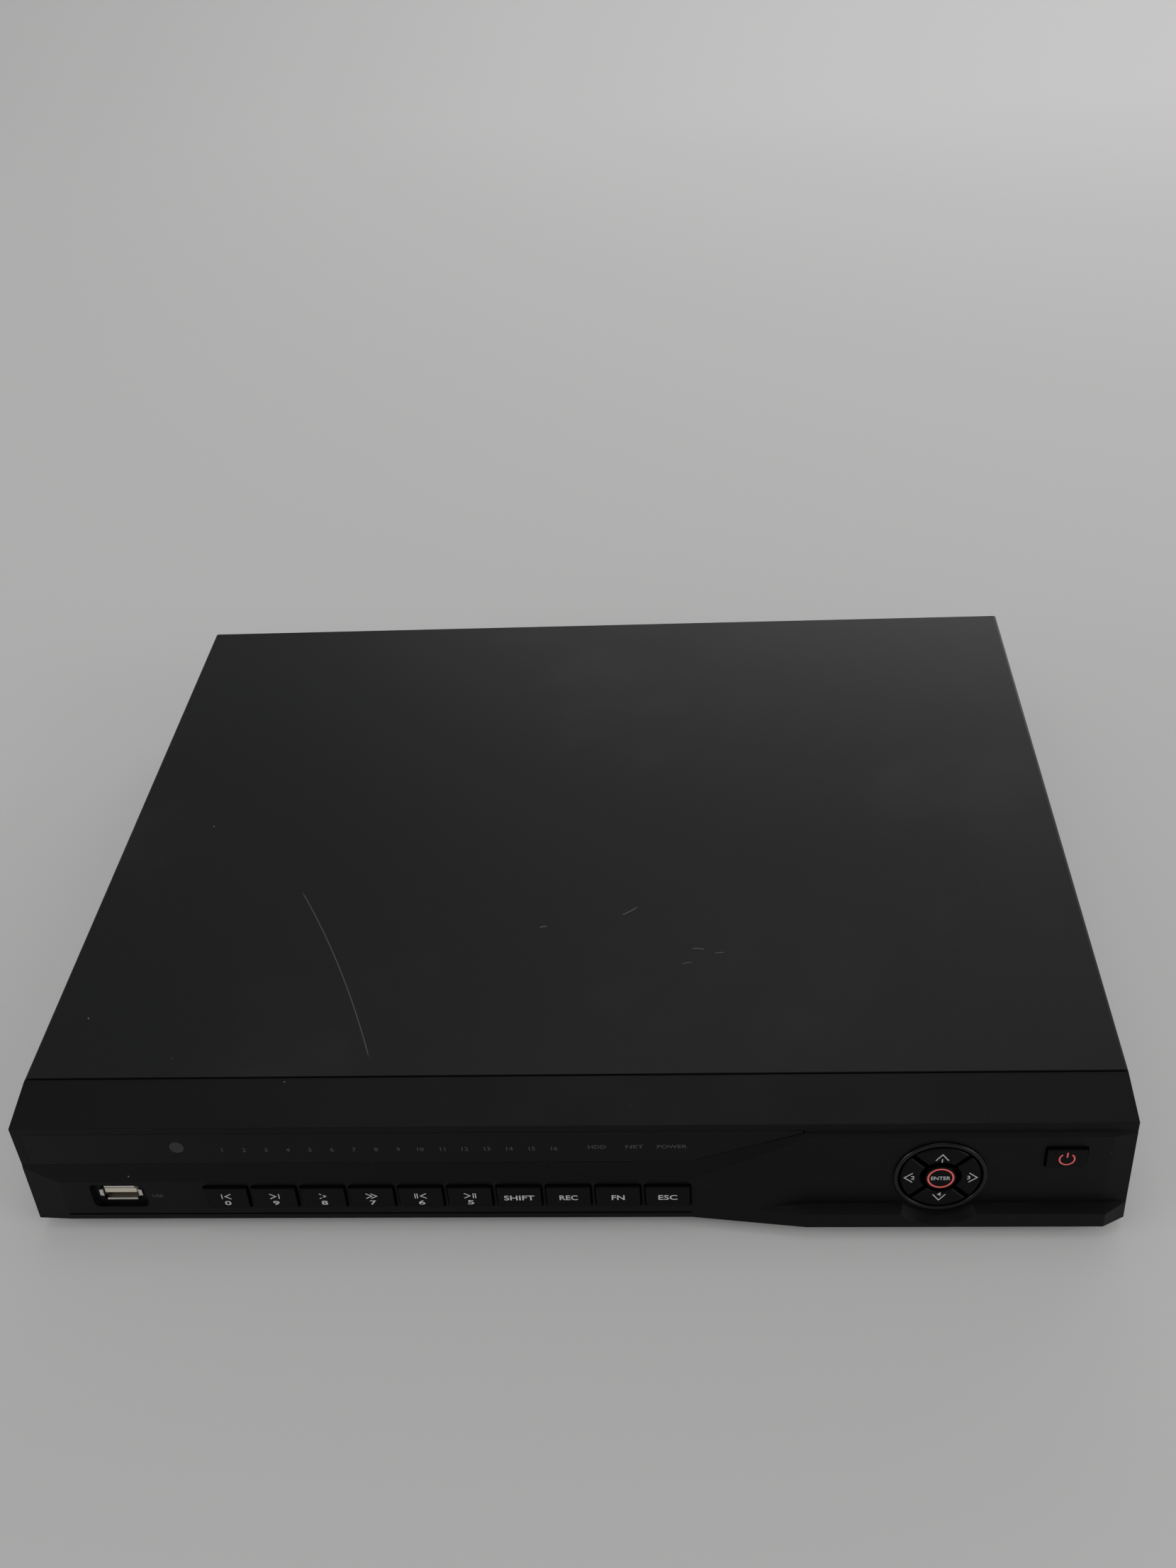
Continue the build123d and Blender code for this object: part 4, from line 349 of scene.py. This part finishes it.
# ---------------------------------------------------------------- finishes
class Finish:
    """A node material in the making, with short ways to add and link nodes."""

    def __init__(self, name, colour, roughness, metallic=0.0, specular=0.5):
        self.material = bpy.data.materials.new(name)
        self.material.use_nodes = True
        self.tree = self.material.node_tree
        self.shader = self.tree.nodes["Principled BSDF"]
        self.shader.inputs["Base Color"].default_value = (*colour, 1.0)
        self.shader.inputs["Roughness"].default_value = roughness
        self.shader.inputs["Metallic"].default_value = metallic
        self.shader.inputs["Specular IOR Level"].default_value = specular
        self.colour = colour
        self.roughness = roughness
        coordinates = self.add("ShaderNodeTexCoord")
        self.place = coordinates.outputs["Object"]

    def add(self, kind, **values):
        """New node; values are input names with underscores for spaces, or node settings."""
        node = self.tree.nodes.new(kind)
        for key, value in values.items():
            if hasattr(node, key):
                setattr(node, key, value)
            else:
                node.inputs[key.replace("_", " ")].default_value = value
        return node

    def link(self, source, target):
        """Links an output to an input."""
        self.tree.links.new(source, target)

    def math(self, operation, first, second=None, clamp=False):
        """Math node; each operand is a number or an output."""
        node = self.add("ShaderNodeMath", operation=operation, use_clamp=clamp)
        for socket, operand in zip(node.inputs, (first, second)):
            if isinstance(operand, (int, float)):
                socket.default_value = operand
            elif operand is not None:
                self.link(operand, socket)
        return node.outputs[0]

    def noise(self, scale, detail=2.0):
        """Noise of this many features to the metre, from 0 to 1."""
        node = self.add("ShaderNodeTexNoise", Scale=scale, Detail=detail)
        self.link(self.place, node.inputs["Vector"])
        return node.outputs["Fac"]

    def step(self, value, low, high, to_low=0.0, to_high=1.0):
        """Smooth step of a value between low and high."""
        node = self.add("ShaderNodeMapRange", interpolation_type="SMOOTHSTEP")
        self.link(value, node.inputs["Value"])
        limits = {"From Min": low, "From Max": high, "To Min": to_low, "To Max": to_high}
        for name, number in limits.items():
            node.inputs[name].default_value = number
        return node.outputs["Result"]

    def tint(self, mask, colour):
        """Mixes a colour into the base colour where the mask is 1."""
        target = self.shader.inputs["Base Color"]
        node = self.add("ShaderNodeMix", data_type="RGBA")
        if target.is_linked:
            self.link(target.links[0].from_socket, node.inputs[6])
        else:
            node.inputs[6].default_value = (*self.colour, 1.0)
        node.inputs[7].default_value = (*colour, 1.0)
        self.link(mask, node.inputs[0])
        self.link(node.outputs[2], target)

    def vary_roughness(self, mask, low, high):
        """Roughness runs from low to high with the mask."""
        self.link(self.step(mask, 0.0, 1.0, low, high), self.shader.inputs["Roughness"])

    def specks(self, spacing, size, share):
        """Mask of small round specks: about one per cell of this spacing, kept for a share."""
        cells = self.add("ShaderNodeTexVoronoi", Scale=1.0 / spacing)
        self.link(self.place, cells.inputs["Vector"])
        near = self.step(cells.outputs["Distance"], size / spacing * 1.5, size / spacing * 0.7)
        picked = self.add("ShaderNodeSeparateColor")
        self.link(cells.outputs["Color"], picked.inputs[0])
        kept = self.step(picked.outputs[0], 1.0 - share, 1.0 - share * 0.8)
        return self.math("MULTIPLY", near, kept)

    def surface(self, grain=0.0, scale=3000.0, edge=0.0):
        """Fine grain as bump, and softened edges of this radius."""
        normal = None
        if edge:
            soft = self.add("ShaderNodeBevel", samples=6, Radius=edge)
            normal = soft.outputs["Normal"]
        if grain:
            bump = self.add("ShaderNodeBump", Strength=0.6, Distance=grain)
            self.link(self.noise(scale, 3.0), bump.inputs["Height"])
            if normal:
                self.link(normal, bump.inputs["Normal"])
            normal = bump.outputs["Normal"]
        if normal:
            self.link(normal, self.shader.inputs["Normal"])


def scratch_mask(finish, start, end, sag, width):
    """Mask of one shallow curved scratch on the cover, seen in plan.

    A point's place along the scratch is its offset from the start dotted with the unit run. Its
    distance is the offset dotted with the run's normal, less the sag times 4 u (1 - u), where u
    is the place along divided by the length. The mask is 1 within the width and between ends.
    """
    run = np.subtract(end, start)
    length = float(np.linalg.norm(run))
    run = run / length
    split = finish.add("ShaderNodeSeparateXYZ")
    finish.link(finish.place, split.inputs[0])
    dx = finish.math("SUBTRACT", split.outputs[0], start[0])
    dy = finish.math("SUBTRACT", split.outputs[1], start[1])

    def dot(a, b):
        first = finish.math("MULTIPLY", dx, a)
        return finish.math("ADD", first, finish.math("MULTIPLY", dy, b))

    place = finish.math("DIVIDE", dot(float(run[0]), float(run[1])), length)
    across = dot(float(-run[1]), float(run[0]))
    bow = finish.math("MULTIPLY", place, finish.math("SUBTRACT", 1.0, place))
    offset = finish.math("SUBTRACT", across, finish.math("MULTIPLY", bow, 4.0 * sag))
    near = finish.step(finish.math("ABSOLUTE", offset), width, width * 0.3)
    inside = finish.math("ABSOLUTE", finish.math("SUBTRACT", place, 0.5))
    return finish.math("MULTIPLY", near, finish.step(inside, 0.5, 0.46))


def smooth_finish(name, colour, roughness, metallic=0.0, edge=0.0, grain=0.0, specular=0.5):
    """Plain finish with softened edges and a little grain."""
    finish = Finish(name, colour, roughness, metallic, specular)
    finish.surface(grain=grain, edge=edge)
    return finish.material


def painted_glow_finish(name, colour, strength):
    """Faint painted glow: the part's own colour, also given off as a weak emission although no
    lamp lights it.
    """
    finish = Finish(name, colour, 0.4)
    finish.shader.inputs["Emission Color"].default_value = (*colour, 1.0)
    finish.shader.inputs["Emission Strength"].default_value = strength
    return finish.material


def assign(material, *nodes):
    """Gives CAD nodes one material."""
    for node in nodes:
        slots = frame["nodes"][node].material_slots
        if not slots:
            frame["nodes"][node].data.materials.append(material)
        for slot in slots:
            slot.material = material


# ---------------------------------------------------------------- properties
class RecorderLooks(bpy.types.PropertyGroup):
    """Colours and sizes of the finishes, the legends and the studio."""

    cover_colour: FloatVectorProperty(
        name="Cover", description="Paint of the folded case", subtype="COLOR",
        size=3, min=0, max=1, default=(0.0115, 0.0118, 0.0125))
    bezel_colour: FloatVectorProperty(
        name="Bezel", description="Moulded plastic of the front", subtype="COLOR",
        size=3, min=0, max=1, default=(0.0068, 0.0068, 0.0080))
    key_colour: FloatVectorProperty(
        name="Keys", description="Plastic of the keys and the pad", subtype="COLOR",
        size=3, min=0, max=1, default=(0.0042, 0.0042, 0.0048))
    legend_colour: FloatVectorProperty(
        name="Legends", description="Printed legends of the keys", subtype="COLOR",
        size=3, min=0, max=1, default=(0.52, 0.52, 0.53))
    faint_colour: FloatVectorProperty(
        name="Window legends", description="Faint print on the smoked window", subtype="COLOR",
        size=3, min=0, max=1, default=(0.05, 0.05, 0.052))
    # Red of the enter ring and the power sign. The strength below is that of a faint painted glow
    # in this red, not a lamp's light.
    red_and_painted_glow_colour: FloatVectorProperty(
        name="Glow", description="Light of the enter ring and the power sign", subtype="COLOR",
        size=3, min=0, max=1, default=(0.85, 0.10, 0.11))
    painted_glow_strength: FloatProperty(
        name="Glow strength", description="Strength of that light", default=0.06, min=0)
    edge_radius: FloatProperty(
        name="Edge radius", description="Softening of moulded edges", unit="LENGTH",
        default=0.0003, min=0)
    dust_size: FloatProperty(
        name="Dust size", description="Radius of the largest dust specks", unit="LENGTH",
        default=0.00022, min=0)
    floor_colour: FloatVectorProperty(
        name="Floor", description="Colour of the studio floor", subtype="COLOR",
        size=3, min=0, max=1, default=(0.65, 0.65, 0.645))
    light_power: FloatProperty(
        name="Light power", description="Power of the large soft light", unit="POWER",
        default=26.0, min=0)


# ---------------------------------------------------------------- operators
class RECORDER_OT_case(bpy.types.Operator):
    """Paints the case with its fine grain, dust, scratches and a faint smudge"""

    bl_idname = "recorder.case"
    bl_label = "Case"

    def execute(self, context):
        looks = context.scene.recorder_looks
        finish = Finish("charcoal_powder_coat", looks.cover_colour, 0.42, specular=0.16)
        smudge = finish.step(finish.noise(9.0, 3.0), 0.45, 0.75)
        finish.vary_roughness(smudge, 0.40, 0.46)
        marks = finish.step(finish.noise(14.0, 5.0), 0.55, 0.8, 0.0, 0.12)
        finish.tint(marks, SMUDGE_COLOUR)
        for scratch in SCRATCHES:
            finish.tint(scratch_mask(finish, *scratch), SCRATCH_COLOUR)
        dust = finish.specks(0.017, looks.dust_size, 0.35)
        finish.tint(dust, (0.30, 0.30, 0.29))
        finish.surface(grain=0.00004, scale=2600.0, edge=0.0004)
        assign(finish.material, "top_cover", "chassis")
        steel = smooth_finish("blackened_steel", (0.05, 0.05, 0.05), 0.38, 1.0, edge=0.0002)
        assign(steel, "cover_screws", "pan_head_screws")
        rubber = smooth_finish("foot_rubber", (0.018, 0.018, 0.018), 0.8, grain=0.00005)
        assign(rubber, "rubber_feet")
        return {"FINISHED"}


class RECORDER_OT_front(bpy.types.Operator):
    """Finishes the bezel, the smoked window, the keys and the direction pad"""

    bl_idname = "recorder.front"
    bl_label = "Front"

    def execute(self, context):
        looks = context.scene.recorder_looks
        finish = Finish("bezel_plastic", looks.bezel_colour, 0.46, specular=0.14)
        finish.vary_roughness(finish.noise(35.0, 4.0), 0.40, 0.52)
        finish.tint(finish.specks(0.006, looks.dust_size, 0.16), (0.22, 0.22, 0.21))
        finish.tint(finish.specks(0.0025, 0.4 * looks.dust_size, 0.12), (0.12, 0.12, 0.12))
        finish.surface(grain=0.00002, scale=4200.0, edge=looks.edge_radius)
        assign(finish.material, "front_bezel")
        keys = Finish("key_plastic", looks.key_colour, 0.45, specular=0.12)
        keys.tint(keys.specks(0.006, 0.7 * looks.dust_size, 0.12), (0.15, 0.15, 0.15))
        keys.surface(grain=0.000015, scale=4200.0, edge=looks.edge_radius)
        assign(keys.material, *KEY_GLYPHS, *KEY_WORDS, *PAD_SIGNS, "enter_button", "power_button")
        ring = smooth_finish(
            "polished_ring", (0.005, 0.005, 0.0055), 0.28, edge=looks.edge_radius, specular=0.3
        )
        assign(ring, "pad_ring")
        window = Finish("smoked_window", (0.0045, 0.0045, 0.005), 0.30, specular=0.17)
        window.tint(window.specks(0.007, 0.8 * looks.dust_size, 0.2), (0.18, 0.18, 0.18))
        window.surface(edge=0.0002)
        assign(window.material, "indicator_window")
        assign(smooth_finish("infrared_lens", (0.016, 0.014, 0.015), 0.2), "infrared_receiver")
        assign(smooth_finish("unlit_indicator", (0.10, 0.10, 0.10), 0.4), "indicator_leds")
        # The red enter ring gets a faint painted glow.
        painted_glow = painted_glow_finish("red_with_painted_glow", looks.red_and_painted_glow_colour, looks.painted_glow_strength)
        assign(painted_glow, "enter_light_ring")
        steel = smooth_finish("bright_shell", (0.62, 0.61, 0.58), 0.28, 1.0, edge=0.0001)
        assign(steel, "front_usb_shell")
        assign(smooth_finish("cream_tongue", (0.62, 0.56, 0.44), 0.5), "front_usb_tongue")
        return {"FINISHED"}


class RECORDER_OT_inside(bpy.types.Operator):
    """Finishes the boards, the drive, the cables and the fan inside the case"""

    bl_idname = "recorder.inside"
    bl_label = "Inside"

    def execute(self, context):
        board = Finish("green_board", (0.012, 0.085, 0.035), 0.42)
        board.tint(board.step(board.noise(260.0, 2.0), 0.55, 0.6), (0.02, 0.13, 0.055))
        assign(board.material, "front_board", "main_board")
        black = smooth_finish("black_moulding", (0.02, 0.02, 0.02), 0.5, edge=0.0002)
        assign(black, "board_components", "tact_switches", "buzzer", "fan_frame", "fan_rotor")
        metal = smooth_finish("cast_aluminium", (0.6, 0.61, 0.62), 0.42, 1.0, edge=0.0003)
        assign(metal, "heatsink", "hard_drive")
        assign(smooth_finish("cell_steel", (0.7, 0.7, 0.7), 0.3, 1.0), "coin_cell", "standoffs")
        assign(smooth_finish("grey_cable", (0.22, 0.22, 0.23), 0.6), "front_ribbon_cable")
        assign(smooth_finish("red_cable", (0.45, 0.03, 0.03), 0.5), "drive_cables", "fan_cable")
        assign(smooth_finish("cream_header", (0.7, 0.66, 0.55), 0.5), "cable_headers")
        return {"FINISHED"}


class RECORDER_OT_sockets(bpy.types.Operator):
    """Finishes the sockets and the power switch of the rear panel"""

    bl_idname = "recorder.sockets"
    bl_label = "Sockets"

    def execute(self, context):
        nickel = smooth_finish("nickel_plate", (0.66, 0.65, 0.61), 0.24, 1.0, edge=0.0001)
        assign(nickel, "bnc_barrels", "vga_shell", "hdmi_socket", "rear_usb_shell")
        gold = smooth_finish("gold_contact", (0.83, 0.62, 0.26), 0.3, 1.0)
        assign(gold, "bnc_contacts", "rca_barrels")
        black = smooth_finish("black_socket", (0.018, 0.018, 0.018), 0.42, edge=0.0002)
        assign(black, "bnc_block", "rca_block", "network_jack", "power_inlet",
               "power_switch_housing", "power_switch_rocker")
        assign(smooth_finish("blue_insert", (0.02, 0.07, 0.32), 0.45), "vga_insert")
        assign(smooth_finish("white_insulator", (0.7, 0.68, 0.62), 0.5), "bnc_insulators",
               "rear_usb_tongues")
        assign(smooth_finish("green_terminal", (0.02, 0.22, 0.07), 0.45, edge=0.0002),
               "terminal_block")
        return {"FINISHED"}


class RECORDER_OT_key_legends(bpy.types.Operator):
    """Prints the signs and digits of the ten keys"""

    bl_idname = "recorder.key_legends"
    bl_label = "Key legends"

    def execute(self, context):
        looks = context.scene.recorder_looks
        ink = smooth_finish("white_ink", looks.legend_colour, 0.6)
        context.scene["white_ink"] = ink.name
        for node, (glyph, digit) in KEY_GLYPHS.items():
            shapes = [shifted(stroke(line, STROKE), 0, GLYPH_UP) for line in glyph]
            shapes.append(lettering(digit, *DIGIT_SIZE, (0.1, -DIGIT_DOWN)))
            print_on(node + "_legend", front_place(node), shapes, ink, body_of(node))
        for node, (word, width) in KEY_WORDS.items():
            shapes = [lettering(word, WORD_HEIGHT, width)]
            print_on(node + "_legend", front_place(node), shapes, ink, body_of(node))
        return {"FINISHED"}


class RECORDER_OT_pad_legends(bpy.types.Operator):
    """Prints the signs of the direction pad, the enter button and the power button"""

    bl_idname = "recorder.pad_legends"
    bl_label = "Pad legends"

    def execute(self, context):
        looks = context.scene.recorder_looks
        ink = bpy.data.materials[context.scene["white_ink"]]
        centre = front_place("pad_ring")
        for node, (angle, digit) in PAD_SIGNS.items():
            place = centre.copy()
            flat = front_place(node)
            gap = (flat.translation - place.translation).dot(centre.col[2].to_3d())
            reach = PAD_REACH_ACROSS if angle % 180 == 0 else PAD_REACH_UP
            tip = turned(moved(PAD_CHEVRON, reach), angle)
            middle = turned([(reach - PAD_DIGIT_BEHIND, 0.0)], angle)[0]
            shapes = [stroke(tip, PAD_STROKE), lettering(digit, PAD_DIGIT_HEIGHT, place=middle)]
            body = body_of(node)
            print_on(node + "_legend", place, shapes, ink, body, lift=gap / MM + PRINT_LIFT)
        place = front_place("enter_button")
        shapes = [lettering("ENTER", *ENTER_SIZE)]
        print_on("enter_legend", place, shapes, ink, body_of("enter_button"))
        # The red power sign gets a faint painted glow.
        painted_glow = painted_glow_finish("red_sign_painted_glow", looks.red_and_painted_glow_colour, looks.painted_glow_strength)
        sign = [stroke(arc(*POWER_RING), POWER_STROKE), stroke(POWER_BAR, POWER_STROKE)]
        body = body_of("power_button")
        print_on("power_sign", front_place("power_button"), sign, painted_glow, body)
        return {"FINISHED"}


class RECORDER_OT_window_legends(bpy.types.Operator):
    """Prints the channel numbers and the three status words on the window"""

    bl_idname = "recorder.window_legends"
    bl_label = "Window legends"

    def execute(self, context):
        looks = context.scene.recorder_looks
        ink = smooth_finish("faint_ink", looks.faint_colour, 0.6)
        place = front_place("indicator_window")
        low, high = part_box("indicator_leds")
        centre = place.translation.x / MM
        first = low[0] / MM + LED_HALF - centre
        last = high[0] / MM - LED_HALF - centre
        shapes = []
        for index in range(CHANNELS):
            middle = (first + CHANNEL_PITCH * index, WINDOW_LEVEL)
            shapes.append(lettering(str(index + 1), CHANNEL_HEIGHT, place=middle))
        for index, word in enumerate(STATUS_WORDS):
            middle = (last - STATUS_PITCH * (2 - index), WINDOW_LEVEL + STATUS_RISE)
            shapes.append(lettering(word, STATUS_HEIGHT, STATUS_LETTER * len(word), middle))
        print_on("window_legends", place, shapes, ink, ROOT)
        usb = front_place("front_usb_shell")
        label = [lettering("USB", USB_LABEL_HEIGHT, place=(USB_LABEL_RIGHT, 0.0))]
        print_on("usb_legend", usb, label, ink, ROOT, lift=USB_LABEL_LIFT)
        return {"FINISHED"}


class RECORDER_OT_rear_legends(bpy.types.Operator):
    """Prints the words and numbers beside the rear sockets"""

    bl_idname = "recorder.rear_legends"
    bl_label = "Rear legends"

    def execute(self, context):
        ink = smooth_finish("rear_ink", REAR_INK, 0.6)
        shapes = []
        for word, node, along, up, height in REAR_WORDS:
            low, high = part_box(node)
            x = (low[0] + high[0]) / 2 / MM + along
            shapes.append(lettering(word, height, place=(-x, high[2] / MM + up)))
        low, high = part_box("bnc_barrels")
        rows = (high[2] / MM - SOCKET_RADIUS, low[2] / MM + SOCKET_RADIUS)
        for channel in range(CHANNELS):
            column, row = channel % SOCKET_COLUMNS, channel // SOCKET_COLUMNS
            x = low[0] / MM + LUG_REACH + SOCKET_PITCH * (column - 0.5)
            middle = (-x, rows[row] + SOCKET_NUMBER_UP)
            shapes.append(lettering(str(channel + 1), SOCKET_NUMBER_HEIGHT, place=middle))
        print_on("rear_legends", rear_place(0.0, 0.0), shapes, ink, ROOT)
        return {"FINISHED"}


class RECORDER_OT_stage(bpy.types.Operator):
    """Sets the floor, the backdrop, the soft lights and the camera"""

    bl_idname = "recorder.stage"
    bl_label = "Studio"

    def execute(self, context):
        looks = context.scene.recorder_looks
        self.sweep(looks.floor_colour)
        for name, place, target, size, share in LIGHTS:
            self.area(name, place, target, size, looks.light_power * share)
        world = bpy.data.worlds.new("studio_air")
        world.use_nodes = True
        air = world.node_tree.nodes["Background"]
        air.inputs["Color"].default_value = AIR_COLOUR
        air.inputs["Strength"].default_value = AIR_STRENGTH
        context.scene.world = world
        camera = bpy.data.cameras.new("studio_camera")
        camera.lens = CAMERA_LENS
        camera.sensor_width = CAMERA_SENSOR
        camera.shift_x, camera.shift_y = CAMERA_SHIFT
        camera.clip_start = 0.01
        holder = bpy.data.objects.new("studio_camera", camera)
        holder.location = CAMERA_PLACE
        holder.rotation_euler = CAMERA_TURN
        context.collection.objects.link(holder)
        context.scene.camera = holder
        return {"FINISHED"}

    def sweep(self, colour):
        """Floor that curves up into a wall: a profile of floor, quarter circle and wall carried
        along X, as a grid of points."""
        radius, back, height, half = 0.5, 1.6, 1.5, 3.5
        turn = np.radians(np.linspace(0.0, 90.0, 24))
        y = np.concatenate(([-4.0], back - radius + radius * np.sin(turn), [back]))
        z = np.concatenate(([0.0], radius - radius * np.cos(turn), [height]))
        x = np.array((-half, half))
        grid = np.stack(np.broadcast_arrays(x[None, :], y[:, None], z[:, None]), axis=-1)
        first = np.arange(len(y) - 1) * 2
        faces = np.stack((first, first + 1, first + 3, first + 2), axis=1)
        mesh = bpy.data.meshes.new("studio_floor")
        mesh.from_pydata(grid.reshape(-1, 3).tolist(), [], faces.tolist())
        mesh.polygons.foreach_set("use_smooth", [True] * len(mesh.polygons))
        mesh.materials.append(smooth_finish("pale_floor", colour, 0.7, specular=0.2))
        floor = bpy.data.objects.new("studio_floor", mesh)
        bpy.context.collection.objects.link(floor)

    def area(self, name, place, target, size, power):
        """Oblong soft light, this wide and this high, that faces the target."""
        light = bpy.data.lights.new(name, "AREA")
        light.shape = "RECTANGLE"
        light.size, light.size_y = size
        light.energy = power
        holder = bpy.data.objects.new(name, light)
        holder.location = place
        away = np.subtract(place, target)
        level = math.hypot(away[0], away[1])
        holder.rotation_euler = (math.atan2(level, away[2]), 0.0, math.atan2(away[0], -away[1]))
        bpy.context.collection.objects.link(holder)


class RECORDER_PT_sidebar(bpy.types.Panel):
    """Looks of the recorder, and the steps that make them"""

    bl_idname = "RECORDER_PT_sidebar"
    bl_label = "Recorder"
    bl_space_type = "VIEW_3D"
    bl_region_type = "UI"
    bl_category = "Recorder"

    def draw(self, context):
        looks = context.scene.recorder_looks
        for name in looks.bl_rna.properties.keys():
            if name not in {"rna_type", "name"}:
                self.layout.prop(looks, name)
        for step in STEPS:
            self.layout.operator(step.bl_idname)


STEPS = (
    RECORDER_OT_case,
    RECORDER_OT_front,
    RECORDER_OT_inside,
    RECORDER_OT_sockets,
    RECORDER_OT_key_legends,
    RECORDER_OT_pad_legends,
    RECORDER_OT_window_legends,
    RECORDER_OT_rear_legends,
    RECORDER_OT_stage,
)
CLASSES = (RecorderLooks, *STEPS, RECORDER_PT_sidebar)


def register():
    """Adds the classes and the scene's properties."""
    for item in CLASSES:
        bpy.utils.register_class(item)
    bpy.types.Scene.recorder_looks = PointerProperty(type=RecorderLooks)


def unregister():
    """Takes them away again."""
    del bpy.types.Scene.recorder_looks
    for item in reversed(CLASSES):
        bpy.utils.unregister_class(item)


def main():
    """Registers the add-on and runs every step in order."""
    register()
    for step in STEPS:
        group, name = step.bl_idname.split(".")
        getattr(getattr(bpy.ops, group), name)()


if __name__ == "__main__":
    main()
